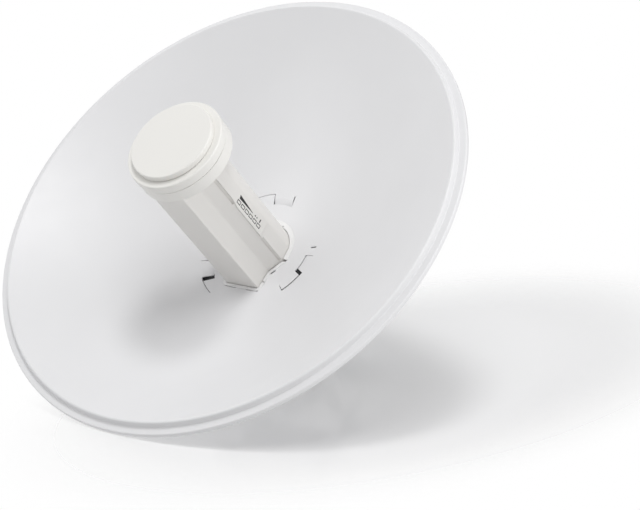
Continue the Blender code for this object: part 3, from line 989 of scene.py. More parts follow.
@dataclass
class Reflector:
    """The stamped sheet bowl with its stepped rim, its opening and its lock slots."""

    axis: BowlAxis
    radius: float = 210.0 * MM
    flange_width: float = 5.2 * MM
    step_height: float = 4.5 * MM
    step_width: float = 2.6 * MM
    crest_round: float = 1.6 * MM
    foot_round: float = 1.2 * MM
    edge_round: float = 1.2 * MM
    edge_turn: float = 3.4 * MM
    start_radius: float = 18.0 * MM
    slots_from: float = 40.0 * MM
    slots_to: float = 58.0 * MM
    slot_width: float = 0.5 * MM
    drain_angle: float = 79.8
    drain_outer: float = 54.6 * MM
    drain_length: float = 5.6 * MM
    drain_width: float = 1.3 * MM
    bend_ring: float = 0.05 * MM
    steps: int = 240
    rings: tuple[int, int, int] = (8, 36, 44)
    crest_steps: int = 10
    foot_steps: int = 7
    edge_steps: int = 8
    rows: tuple[LockRow, ...] = (
        LockRow(angle=-13.0, turn=1, window=0.7 * MM, inner=44.6 * MM, outer=53.6 * MM,
                free_inside=Tab(span=24.0, droop=1.7 * MM, bend=5.4 * MM),
                free_outside=Tab(span=18.0, droop=0.1 * MM, bend=3.0 * MM),
                lean=2.0, wide_end=1.2 * MM),
        LockRow(angle=107.4, turn=-1, window=3.2 * MM, inner=46.8 * MM, outer=55.0 * MM,
                free_inside=Tab(span=18.5, droop=0.8 * MM, bend=3.0 * MM),
                free_outside=Tab(span=22.0, droop=0.4 * MM, bend=3.2 * MM),
                hook=7.2 * MM, skew=1.6, wide_outside=1.5 * MM),
        LockRow(angle=-135.5, turn=1, window=4.8 * MM, inner=44.8 * MM, outer=54.9 * MM,
                free_inside=Tab(span=22.0, droop=1.6 * MM, bend=8.8 * MM),
                free_outside=Tab(span=18.0, droop=0.1 * MM, bend=3.0 * MM),
                skew=3.0),
    )
    reliefs: tuple[tuple[float, Point, Point], ...] = (
        (1.8 * MM, (20.8 * MM, -20.1 * MM), (23.6 * MM, -16.2 * MM)),
        (1.0 * MM, (5.9 * MM, -38.8 * MM), (18.6 * MM, -38.6 * MM)),
        (1.0 * MM, (-16.0 * MM, -38.7 * MM), (-4.5 * MM, -38.8 * MM)),
    )

    def profile(self) -> list[Point]:
        """The front of the sheet from near the vertex out to the edge.

        Returns:
            Radius and height of each point.
        """
        flange_inner = self.radius - self.edge_round - self.flange_width
        crest = flange_inner - self.step_width
        crest_slope = math.atan(crest / (2 * self.axis.focal_length))
        step_slope = math.degrees(math.atan2(self.step_height, self.step_width))
        bowl_end = crest - self.crest_round * math.sin(crest_slope)
        centre = self.axis.front(bowl_end) - self.crest_round * math.cos(crest_slope)
        flange = centre + self.crest_round - self.step_height
        ends = (self.start_radius, self.slots_from, self.slots_to, bowl_end)
        radii = [low + (high - low) * i / count
                 for (low, high), count in zip(pairwise(ends), self.rings) for i in range(count)]
        line = [(radius, self.axis.front(radius)) for radius in radii]
        line += arc((crest, centre), self.crest_round, 90.0 + math.degrees(crest_slope),
                    90.0 - step_slope, self.crest_steps)
        foot = flange_inner + self.foot_round * math.tan(math.radians(step_slope) / 2)
        line += arc((foot, flange + self.foot_round), self.foot_round, -90.0 - step_slope,
                    -90.0, self.foot_steps)
        line += arc((self.radius - self.edge_round, flange - self.edge_round),
                    self.edge_round, 90.0, 0.0, self.edge_steps)
        line.append((self.radius, flange - self.edge_turn))
        return line

    def stamp(self) -> Piece:
        """Turn the sheet and give it its thickness.

        Returns:
            The closed sheet, before anything is cut through it.
        """
        bowl = turned("stamped_bowl", self.profile(), self.steps, closed=False)
        if bowl.data.polygons[0].normal.z < 0:
            open_mesh(bowl)
            bpy.ops.mesh.flip_normals()
            bpy.ops.object.mode_set(mode='OBJECT')
        wall = bowl.modifiers.new("sheet", 'SOLIDIFY')
        wall.thickness = self.axis.sheet
        wall.offset = -1.0
        wall.use_even_offset = True
        apply(bowl, wall)
        return bowl

    def cutter(self, name: str, outline: Sequence[Point]) -> Piece:
        """A tool that reaches through the sheet round the slots."""
        reach = 2 * self.axis.sheet
        return prism(name, outline, -reach, self.axis.front(self.slots_to) + reach)

    def pierce(self, bowl: Piece, lip: Sequence[Point]) -> None:
        """Cut the tube's opening, the slots with windows and wide runs, the reliefs and the drain.

        Args:
            bowl: The stamped sheet.
            lip: The outline of the opening that the socket's lip sits in.
        """
        slots = [self.cutter("slot", band(row.path(), self.slot_width)) for row in self.rows]
        combine(bowl, [self.cutter("opening", lip), *slots])
        half = self.slot_width / 2
        windows = [self.cutter("window", band(
            [polar(row.inner - half, row.angle - row.skew / 2),
             polar(row.outer + half, row.angle + row.skew / 2)], row.window))
            for row in self.rows]
        drain = [polar(self.drain_outer - self.drain_length, self.drain_angle),
                 polar(self.drain_outer, self.drain_angle)]
        reliefs = [self.cutter("relief", band(ends, width)) for width, *ends in self.reliefs]
        combine(bowl, [*windows, self.cutter("drain", band(drain, self.drain_width)), *reliefs])
        combine(bowl, [self.cutter("run", run) for row in self.rows for run in row.wide_runs()])

    def bend_tabs(self, bowl: Piece, row: LockRow) -> None:
        """Bend a row's tabs back behind the sheet, ring by ring.

        Args:
            bowl: The pierced sheet.
            row: The row whose tabs are bent.
        """
        groups: dict[int, list[int]] = {}
        for vertex in bowl.data.vertices:
            droop = row.droop(vertex.co.x, vertex.co.y)
            if droop > self.bend_ring / 2:
                groups.setdefault(round(droop / self.bend_ring), []).append(vertex.index)
        for step, members in groups.items():
            shift(bowl, members, (0.0, 0.0, -step * self.bend_ring))

    def build(self, lip: Sequence[Point]) -> None:
        """Model, lay and dress the bowl.

        Args:
            lip: The outline of its opening.
        """
        bowl = self.stamp()
        self.pierce(bowl, lip)
        for row in self.rows:
            self.bend_tabs(bowl, row)
        self.axis.finish(bowl, Finish.POWDER_COAT, "reflector_dish")


@dataclass
class FeedHead:
    """The feed tube with its grooves and pads, and the stepped cap at its front end."""

    axis: BowlAxis
    section: TubeSection
    reach: float = 155.6 * MM
    tail: float = 15.4 * MM
    disc_radius: float = 35.4 * MM
    disc_height: float = 5.0 * MM
    ring_radius: float = 41.4 * MM
    ring_height: float = 8.2 * MM
    ring_seam: float = 0.6 * MM
    collar_radius: float = 41.0 * MM
    collar_length: float = 11.0 * MM
    disc_round: float = 1.0 * MM
    ring_round: float = 1.2 * MM
    back_round: float = 0.4 * MM
    tube_round: float = 0.5 * MM
    tube_edge: float = 20.0
    facets: int = 3
    pad_start: float = 36.2 * MM
    pad_slope: float = 3.8 * MM
    pad_rise: float = 1.0 * MM
    pad_root: float = 0.7 * MM
    pad_round: float = 0.25 * MM
    pad_edge_angle: float = 12.0
    pad_edge: tuple[Point, ...] = ((-5.7 * MM, 90.0 * MM), (-7.4 * MM, 79.0 * MM))
    groove: tuple[Point, ...] = ((21.9 * MM, -7.0 * MM), (26.6 * MM, -9.98 * MM),
                                 (26.6 * MM, -4.3 * MM))
    groove_runs: tuple[Point, ...] = ((84.0 * MM, 135.0 * MM), (2.0 * MM, 35.5 * MM))
    steps: int = 144
    front_steps: int = 9
    back_steps: int = 4

    def __post_init__(self) -> None:
        """Work out where the cap's pieces and the tube end ahead of the vertex."""
        self.disc_low = self.reach - self.disc_height
        self.ring_high = self.disc_low - SEAM
        self.collar_high = self.ring_high - self.ring_height - SEAM
        self.ring_low = self.collar_high + self.ring_seam
        self.collar_low = self.collar_high - self.collar_length
        self.tube_high = self.collar_low - SEAM

    def build_tube(self) -> None:
        """Raise the tube's section, round its long edges and groove it below its side faces."""
        tube = prism("feed_tube_shell", self.section.outline(), -self.tail, self.tube_high)
        soften(tube, self.tube_round, self.facets, self.tube_edge)
        combine(tube, [prism("groove", [(side.value * x, y) for x, y in self.groove], low, high)
                       for side in Side for low, high in self.groove_runs])
        self.axis.finish(tube, Finish.WHITE_MOULDING, "feed_tube")

    def disc(self, name: str, radius: float, low: float, high: float,
             front_round: float) -> Piece:
        """A turned disc, well rounded in front and slightly behind.

        Args:
            name: The piece's name.
            radius: Its radius.
            low: The height of its back.
            high: The height of its front.
            front_round: The rounding of its front edge.

        Returns:
            The disc on the bowl's axis.
        """
        profile = [(0.0, high)]
        profile += arc((radius - front_round, high - front_round), front_round, 90.0, 0.0,
                       self.front_steps)
        profile += arc((radius - self.back_round, low + self.back_round), self.back_round,
                       0.0, -90.0, self.back_steps)
        profile.append((0.0, low))
        return turned(name, profile, self.steps, closed=False)

    def build_cap(self) -> None:
        """Turn the collar, the cap's ring and the cap's disc."""
        for name, node, radius, low, high, edge in (
                ("feed_collar_shell", "feed_collar", self.collar_radius, self.collar_low,
                 self.collar_high, self.back_round),
                ("cap_shoulder_ring", "feed_cap_ring", self.ring_radius, self.ring_low,
                 self.ring_high, self.ring_round),
                ("cap_front_disc", "feed_cap_disc", self.disc_radius, self.disc_low,
                 self.reach, self.disc_round)):
            # The cap's pieces take the lighter copy of the moulding, painted light on the cap.
            self.axis.finish(self.disc(name, radius, low, high, edge), Finish.CAP_MOULDING, node)

    def build_pads(self) -> None:
        """Raise the pad over each side face, then slope its lower end."""
        high = self.section.side_top - SEAM
        end, start = self.tube_high - SEAM, self.pad_start + self.pad_slope
        (narrow, upper), (wide, lower) = self.pad_edge
        outline = [(high, end), (narrow, end), (narrow, upper), (wide, lower), (wide, start),
                   (high, start)]
        for side in Side:
            face = side.value * (self.section.half_width - self.pad_root)
            pad = slab(f"side_pad_{side.word}", [(face, y, z) for y, z in outline],
                       (side.value * (self.pad_root + self.pad_rise), 0.0, 0.0))
            foot = [vertex.index for vertex in pad.data.vertices
                    if abs(vertex.co.x - face) < SEAM and abs(vertex.co.z - start) < SEAM]
            shift(pad, foot, (0.0, 0.0, -self.pad_slope))
            soften(pad, self.pad_round, self.facets, self.pad_edge_angle)
            self.axis.finish(pad, Finish.WHITE_MOULDING, f"label_pad_{side.word}")

    def build(self) -> None:
        """Build the whole feed head."""
        self.build_tube()
        self.build_cap()
        self.build_pads()


@dataclass
class SignalMarks:
    """The plain printed marks on the right pad: a wedge, a row of frames and three ticks."""

    axis: BowlAxis
    face: float
    thickness: float = 0.05 * MM
    frames: int = 6
    frame_pitch: float = 6.64 * MM
    frame_width: float = 3.2 * MM
    frame_length: float = 5.3 * MM
    frame_line: float = 0.66 * MM
    first_frame: float = 81.2 * MM
    frame_middle: float = -3.2 * MM
    wedge: tuple[Point, ...] = ((-0.5 * MM, 82.6 * MM), (2.4 * MM, 83.6 * MM),
                                (0.5 * MM, 60.6 * MM), (0.15 * MM, 60.6 * MM))
    ticks: tuple[tuple[Point, Point], ...] = (
        ((0.6 * MM, 56.6 * MM), (1.0 * MM, 1.6 * MM)),
        ((0.6 * MM, 53.8 * MM), (1.0 * MM, 1.4 * MM)),
        ((0.8 * MM, 48.6 * MM), (2.8 * MM, 1.4 * MM)))

    def mark(self, name: str, outline: Sequence[Point]) -> Piece:
        """A filled mark on the pad's face, its outline in height and distance ahead."""
        return slab(name, [(self.face, up, ahead) for up, ahead in outline],
                    (self.thickness, 0.0, 0.0))

    def box(self, middle: Point, size: Point) -> list[Point]:
        """A rectangle round a middle.

        Args:
            middle: Its middle's height and distance ahead.
            size: How tall and how long it is.

        Returns:
            Its corners.
        """
        (up, ahead), (tall, long) = middle, size
        return [(up + sx * tall / 2, ahead + sy * long / 2)
                for sx, sy in ((1, 1), (-1, 1), (-1, -1), (1, -1))]

    def frame(self, ahead: float) -> Piece:
        """One open frame.

        Args:
            ahead: Its middle's distance ahead of the vertex.

        Returns:
            The frame's closed mesh.
        """
        middle = (self.frame_middle, ahead)
        outline = self.box(middle, (self.frame_width, self.frame_length))
        piece = trace("signal_frame", [(self.face, up, far) for up, far in outline])
        bpy.ops.mesh.edge_face_add()
        bpy.ops.mesh.inset(thickness=self.frame_line)
        bpy.ops.mesh.delete(type='FACE')
        bpy.ops.mesh.select_all(action='SELECT')
        thicken(piece, (self.thickness, 0.0, 0.0))
        return piece

    def build(self) -> None:
        """Print the marks."""
        first = self.frame(self.first_frame)
        row = [copy_of(first, "signal_frame", stand((0.0, 0.0, -i * self.frame_pitch)))
               for i in range(1, self.frames)]
        frames = self.axis.lay(joined("signal_frames", [first, *row]))
        dress(frames, Finish.GREY_INK)
        dress(self.axis.lay(self.mark("signal_wedge", self.wedge)), Finish.BLACK_INK)
        ticks = [self.mark("signal_tick", self.box(*tick)) for tick in self.ticks]
        dress(self.axis.lay(joined("signal_ticks", ticks)), Finish.GREY_INK)


@dataclass
class FeedSocket:
    """The moulded lip round the tube, with its small notches."""

    axis: BowlAxis
    section: TubeSection
    clearance: float = 0.5 * MM
    slant_clearance: float = 1.0 * MM
    wall: float = 4.4 * MM
    slant_wall: float = 3.5 * MM
    keel_wall: float = 2.6 * MM
    proud: float = 0.15 * MM
    depth: float = 6.2 * MM
    edge_round: float = 0.3 * MM
    facets: int = 3
    notch_floor: float = 5.6 * MM
    gap: float = 0.1 * MM
    notches: tuple[tuple[Point, ...], ...] = (
        ((24.9 * MM, -4.2 * MM), (30.8 * MM, -5.4 * MM), (30.8 * MM, -6.3 * MM),
         (24.9 * MM, -7.4 * MM)),
        ((16.9 * MM, -28.0 * MM), (20.6 * MM, -28.9 * MM), (20.6 * MM, -29.9 * MM),
         (16.9 * MM, -29.0 * MM)),
        ((7.9 * MM, 24.3 * MM), (9.2 * MM, 24.1 * MM), (9.6 * MM, 25.6 * MM),
         (8.3 * MM, 26.0 * MM)))

    def outline(self, spread: float = 0.0) -> list[Point]:
        """The lip's outer outline, or one that stands off it.

        Args:
            spread: How far it stands off the lip.

        Returns:
            The outline's points.
        """
        inner = self.clearance + spread
        return self.section.outline(inner + self.wall, inner + self.slant_wall,
                                    inner + self.keel_wall)

    def edge(self, name: str, outline: Sequence[Point]) -> Piece:
        """One edge of the lip, which follows the bowl a little proud of it.

        Args:
            name: The piece's name.
            outline: The edge seen along the axis.

        Returns:
            The traced edge, out of edit mode.
        """
        piece = trace(name, [(x, y, self.axis.front(math.hypot(x, y)) + self.proud)
                             for x, y in outline])
        bpy.ops.object.mode_set(mode='OBJECT')
        settle(piece)
        return piece

    def build(self) -> None:
        """Bridge the lip between its two edges, give it its depth and notch it."""
        inner = self.section.outline(self.clearance, self.slant_clearance, self.clearance)
        lip = joined("socket_lip", [self.edge("outer", self.outline()),
                                    self.edge("inner", inner)])
        open_mesh(lip)
        bpy.ops.mesh.bridge_edge_loops()
        bpy.ops.mesh.select_all(action='SELECT')
        thicken(lip, (0.0, 0.0, -self.depth))
        combine(lip, [prism("notch", notch, -self.notch_floor, self.depth)
                      for notch in self.notches])
        soften(lip, self.edge_round, self.facets)
        # The lip takes the lighter copy of the moulding, a painted highlight.
        self.axis.finish(lip, Finish.LIP_MOULDING, "feed_socket")


@dataclass
class RearHousing:
    """The moulded cup behind the bowl, the dark gasket under its flange, which paints shade into
    the lock windows, and its cable port.
    """

    axis: BowlAxis
    radius: float = 52.0 * MM
    flange: float = 6.0 * MM
    flange_thickness: float = 3.0 * MM
    depth: float = 28.0 * MM
    wall: float = 2.4 * MM
    taper: float = 4.0 * MM
    edge_round: float = 3.0 * MM
    rim_width: float = 2.2 * MM
    recess: float = 2.0 * MM
    root_round: float = 1.2 * MM
    lip_round: float = 0.6 * MM
    shade_gasket_inner: float = 43.2 * MM
    shade_gasket_thickness: float = 0.8 * MM
    shade_gasket_gap: float = 0.02 * MM
    port_width: float = 40.0 * MM
    port_drop: float = 13.0 * MM
    port_length: float = 17.0 * MM
    port_corner: float = 2.5 * MM
    port_round: float = 1.2 * MM
    port_facets: int = 4
    plug_radius: float = 5.5 * MM
    plug_length: float = 4.0 * MM
    plug_ridge: float = 0.9 * MM
    plug_rim: Point = (1.2 * MM, 1.5 * MM)
    plug_neck: float = 1.9 * MM
    plug_bore: tuple[Point, ...] = ((1.9 * MM, 0.0), (1.5 * MM, 0.7 * MM), (0.0, 0.9 * MM))
    plug_steps: int = 48
    steps: int = 128
    lip_steps: int = 4
    root_steps: int = 6
    edge_steps: int = 8
    ridge_steps: int = 5

    def __post_init__(self) -> None:
        """Work out where the cup starts and ends along the axis."""
        self.front = self.axis.back(self.radius - self.wall) - SEAM
        self.flange_back = self.front - self.flange_thickness
        self.back = self.front - self.depth

    def cup_profile(self) -> list[Point]:
        """The cup's closed profile.

        Returns:
            Radius and height of each point.
        """
        rim = self.radius + self.flange
        inner = rim - self.rim_width
        small = self.radius - self.taper
        floor = self.front - self.recess
        line = [(self.radius - self.wall, floor), (inner, floor),
                (inner, self.axis.back(inner) - SEAM), (rim, self.axis.back(rim) - SEAM)]
        line += arc((rim - self.lip_round, self.flange_back + self.lip_round), self.lip_round,
                    0.0, -90.0, self.lip_steps)
        line += arc((self.radius + self.root_round, self.flange_back - self.root_round),
                    self.root_round, 90.0, 180.0, self.root_steps)
        line += arc((small - self.edge_round, self.back + self.edge_round), self.edge_round,
                    0.0, -90.0, self.edge_steps)
        line += [(0.0, self.back), (0.0, self.back + self.wall),
                 (small - self.wall, self.back + self.wall)]
        return line

    def build_cup(self) -> None:
        """Turn the cup and the dark gasket in its recess, which stands in for the shade seen
        through the lock windows.
        """
        self.axis.finish(turned("housing_cup", self.cup_profile(), self.steps),
                         Finish.WHITE_MOULDING, "rear_housing")
        # The gasket's dark rubber is painted shade: it darkens what the lock windows show of the
        # recess behind the bowl.
        low = self.front - self.recess + self.shade_gasket_gap
        outer = self.radius + self.flange - self.rim_width - SEAM
        profile = [(self.shade_gasket_inner, low), (outer, low),
                   (outer, low + self.shade_gasket_thickness),
                   (self.shade_gasket_inner, low + self.shade_gasket_thickness)]
        self.axis.finish(turned("housing_shade_gasket", profile, self.steps), Finish.RUBBER)

    def build_port(self) -> None:
        """Raise the port's cover and hollow it for the cup."""
        top, bottom = self.radius / 2, self.radius + self.port_drop
        high = self.flange_back - SEAM
        low = high - self.port_length
        outline = rounded_box(self.port_width, bottom - top, self.port_corner,
                              (0.0, -(top + bottom) / 2))
        cover = prism("port_hood", outline, low, high)
        soften(cover, self.port_round, self.port_facets)
        slope = self.taper / (self.depth - self.flange_thickness - self.edge_round)
        reach = self.depth
        near = self.radius + SEAM + slope * (high + reach - self.flange_back)
        far = self.radius + SEAM - slope * reach
        room = turned("room", [(0.0, high + reach), (near, high + reach),
                               (far, self.flange_back - reach), (0.0, self.flange_back - reach)],
                      self.steps, closed=False)
        combine(cover, [room])
        self.axis.finish(cover, Finish.PALE_MOULDING, "port_cover")

    def build_plug(self) -> None:
        """Turn the plug under the port's cover, with its rim, neck and blind bore."""
        tip, ridge = self.plug_length, self.plug_ridge
        edge, back = self.plug_rim
        profile = [(0.0, 0.0), (self.plug_radius, 0.0), (self.plug_radius, -edge)]
        profile += [(self.plug_radius - ridge, -back), (self.plug_radius - ridge, -self.plug_neck)]
        profile += arc((self.plug_radius - 2 * ridge, -tip + ridge), ridge, 0.0, -90.0,
                       self.ridge_steps)
        profile += [(radius, -tip + depth) for radius, depth in self.plug_bore]
        plug = turned("port_grommet", profile, self.plug_steps, closed=False)
        bottom, high = self.radius + self.port_drop, self.flange_back - SEAM
        put(plug, stand((0.0, -bottom - SEAM, high - self.port_length / 2), (-90.0, 0.0, 0.0)))
        self.axis.finish(plug, Finish.RUBBER, "port_plug")

    def build(self) -> None:
        """Build the housing, its port and the plug."""
        self.build_cup()
        self.build_port()
        self.build_plug()


# The bracket and the pole clamp

@dataclass
class Bracket:
    """The pad, the two folded brackets and the clamp jaw."""

    plate: float = 2.5 * MM
    width: float = 60.0 * MM
    height: float = 56.0 * MM
    depth: float = 29.0 * MM
    bend: float = 3.4 * MM
    ear_round: float = 8.0 * MM
    corner_round: float = 5.0 * MM
    edge_round: float = 0.3 * MM
    pivot: Point = (-14.5 * MM, -14.0 * MM)
    lock: Point = (-14.5 * MM, 14.0 * MM)
    tilt_range: float = 20.0
    side_hole: float = 3.4 * MM
    pad_size: Point = (66.0 * MM, 62.0 * MM)
    pad_thickness: float = 3.0 * MM
    pad_facets: int = 3
    screw_spacing: Point = (36.0 * MM, 40.0 * MM)
    screw_hole: float = 2.9 * MM
    pole_plate: Point = (108.4 * MM, 72.0 * MM)
    clamp_x: float = 43.2 * MM
    clamp_hole: float = 4.2 * MM
    jaw_thickness: float = 3.0 * MM
    jaw_height: float = 38.0 * MM
    jaw_wing: float = 28.0 * MM
    jaw_back: float = 52.0 * MM
    jaw_margin: float = 9.6 * MM
    pole_radius: float = 25.0 * MM
    hole_steps: int = 32
    ear_steps: int = 10
    outer_fold_steps: int = 8
    inner_fold_steps: int = 5
    slot_steps: int = 8

    def screw_places(self) -> list[Point]:
        """The four screws' places in X and Z."""
        across, up = self.screw_spacing
        return [(sx * across / 2, sz * up / 2) for sx in (1, -1) for sz in (1, -1)]

    def side_tool(self, name: str, outline: Sequence[Point]) -> Piece:
        """A tool along X, its outline in Y and Z."""
        reach = self.width
        return slab(name, [(-reach, y, z) for y, z in outline], (2 * reach, 0.0, 0.0))

    def front_tool(self, name: str, outline: Sequence[Point]) -> Piece:
        """A tool along Y, its outline in X and Z."""
        reach = 4 * self.depth
        return slab(name, [(x, -reach, z) for x, z in outline], (0.0, 2 * reach, 0.0))

    def screw_tools(self) -> list[Piece]:
        """The drills for the four screws."""
        return [self.front_tool("drill", circle(self.screw_hole, self.hole_steps, place))
                for place in self.screw_places()]

    def clamp_tools(self) -> list[Piece]:
        """The drills for the two clamp bolts.

        Returns:
            The drills.
        """
        places = [(side.value * self.clamp_x, 0.0) for side in Side]
        return [self.front_tool("drill", circle(self.clamp_hole, self.hole_steps, place))
                for place in places]

    def finish(self, piece: Piece, finish: Finish, node: str, width: float,
               segments: int = 2) -> None:
        """Break a piece's sharp edges, shade it smooth and dress it.

        Args:
            piece: The piece, in its place.
            finish: Its finish.
            node: The node that it stands for.
            width: The width of its edges' rounding.
            segments: How many facets the rounding has.
        """
        soften(piece, width, segments)
        smooth(piece)
        dress(piece, finish, node)

    def build_pad(self) -> None:
        """Raise the moulded pad between the housing and the bracket."""
        front = -self.depth - SEAM - self.pad_thickness
        outline = rounded_box(*self.pad_size, self.corner_round)
        pad = slab("moulded_pad", [(x, front, z) for x, z in outline],
                   (0.0, self.pad_thickness, 0.0))
        combine(pad, self.screw_tools())
        self.finish(pad, Finish.PALE_MOULDING, "mount_pad", 2 * self.edge_round,
                    self.pad_facets)

    def ear_outline(self, reach: float, base: float) -> list[Point]:
        """An ear from the side, its free corners rounded.

        Args:
            reach: How far the ear's end stands from its base.
            base: The base's place in Y. A negative reach points the ear forwards.

        Returns:
            The outline in Y and Z.
        """
        half = self.height / 2
        end = base + reach
        side = math.copysign(1.0, reach)
        centre = end - side * self.ear_round
        turns = [math.radians(90.0 / self.ear_steps * i) for i in range(self.ear_steps + 1)]
        corner = [(self.ear_round * math.sin(turn), self.ear_round * math.cos(turn))
                  for turn in turns]
        upper = [(centre + side * y, half - self.ear_round + z) for y, z in corner]
        return [(base, -half), (base, half), *upper, *[(y, -z) for y, z in reversed(upper)]]

    def build_tilt(self) -> None:
        """Fold the bracket on the housing, round its ears and cut its slots."""
        half, back = self.width / 2, -self.depth / 2 + self.ear_round
        low = -self.depth
        inner, small = half - self.plate, self.bend - self.plate
        right = [(inner, back), (half, back)]
        centre = (half - self.bend, low + self.bend)
        right += arc(centre, self.bend, 0.0, -90.0, self.outer_fold_steps)
        fold = arc(centre, small, -90.0, 0.0, self.inner_fold_steps)
        left = [(-x, y) for x, y in reversed(right)]
        path = right + left + [(-x, y) for x, y in reversed(fold)] + fold
        bracket = slab("tilt_bracket_plate", [(x, y, -self.height / 2) for x, y in path],
                       (0.0, 0.0, self.height))
        shape = self.side_tool("shape", self.ear_outline(back - low + self.plate,
                                                         low - self.plate))
        combine(bracket, [shape], 'INTERSECT')
        swing = self.lock[1] - self.pivot[1]
        half_range = self.tilt_range / 2
        slot = self.slot_outline(swing, 90.0 - half_range, 90.0 + half_range)
        holes = circle(self.side_hole, self.hole_steps, self.pivot)
        combine(bracket, [self.side_tool("pivot", holes), self.side_tool("slot", slot),
                          *self.screw_tools()])
        self.finish(bracket, Finish.ZINC, "tilt_bracket", self.edge_round)

    def slot_outline(self, swing: float, start: float, stop: float) -> list[Point]:
        """The curved slot that the lock bolt slides in, with round ends.

        Args:
            swing: The slot's distance from the pivot.
            start: Its first end's angle in degrees.
            stop: Its last end's angle in degrees.

        Returns:
            The outline in Y and Z.
        """
        radius, steps = self.side_hole, self.slot_steps
        first, last = arc(self.pivot, swing, start, stop, 1)
        outline = arc(self.pivot, swing + radius, start, stop, steps)
        outline += arc(last, radius, stop, stop + 180.0, steps)[1:-1]
        outline += arc(self.pivot, swing - radius, stop, start, steps)
        outline += arc(first, radius, start + 180.0, start + 360.0, steps)[1:-1]
        return outline

    def build_pole(self) -> None:
        """Join the ears to the plate that lies on the pole, and drill it."""
        outline = rounded_box(*self.pole_plate, self.corner_round)
        bracket = slab("pole_bracket_plate", [(x, -self.plate, z) for x, z in outline],
                       (0.0, self.plate, 0.0))
        outer = self.width / 2 - self.plate - SEAM
        reach = -self.depth / 2 - self.ear_round + self.plate / 2
        ear = self.ear_outline(reach, -self.plate / 2)
        for side in Side:
            start = outer - self.plate if side is Side.RIGHT else -outer
            combine(bracket, [slab("ear", [(start, y, z) for y, z in ear],
                                   (self.plate, 0.0, 0.0))], 'UNION')
        holes = [self.side_tool("hole", circle(self.side_hole, self.hole_steps, place))
                 for place in (self.pivot, self.lock)]
        combine(bracket, self.clamp_tools())
        combine(bracket, holes)
        self.finish(bracket, Finish.ZINC, "pole_bracket", self.edge_round)

    def build_jaw(self) -> None:
        """Fold the clamp jaw behind the pole and drill its wings."""
        vee = self.pole_radius * (1 + math.sqrt(2))
        wing = self.clamp_x + self.jaw_margin
        inner = [(wing, self.jaw_wing), (vee - self.jaw_wing, self.jaw_wing),
                 (vee - self.jaw_back, self.jaw_back)]
        path = inner + [(-x, y) for x, y in reversed(inner)]
        middle = self.bent([(x, y + self.jaw_thickness / 2) for x, y in path])
        outline = band(middle, self.jaw_thickness)
        jaw = slab("clamp_jaw_plate", [(x, y, -self.jaw_height / 2) for x, y in outline],
                   (0.0, 0.0, self.jaw_height))
        combine(jaw, self.clamp_tools())
        self.finish(jaw, Finish.ZINC, "clamp_jaw", self.edge_round)

    def bent(self, path: Sequence[Point], steps: int = 6) -> list[Point]:
        """Round the inner corners of a path as a press brake leaves them.

        Args:
            path: The path's corners.
            steps: How many pieces each bend has.

        Returns:
            The rounded path.
        """
        rounded = [path[0]]
        for before, corner, after in zip(path, path[1:], path[2:]):
            at = Vector(corner)
            to_start = (Vector(before) - at).normalized()
            to_end = (Vector(after) - at).normalized()
            reach = self.bend / math.tan(to_start.angle(to_end) / 2)
            first, last = at + to_start * reach, at + to_end * reach
            for i in range(steps + 1):
                t = i / steps
                rounded.append(tuple(first * (1 - t) ** 2 + at * 2 * t * (1 - t)
                                     + last * t ** 2))
        rounded.append(path[-1])
        return rounded

    def build(self) -> None:
        """Build the pad, both brackets and the jaw."""
        self.build_pad()
        self.build_tilt()
        self.build_pole()
        self.build_jaw()


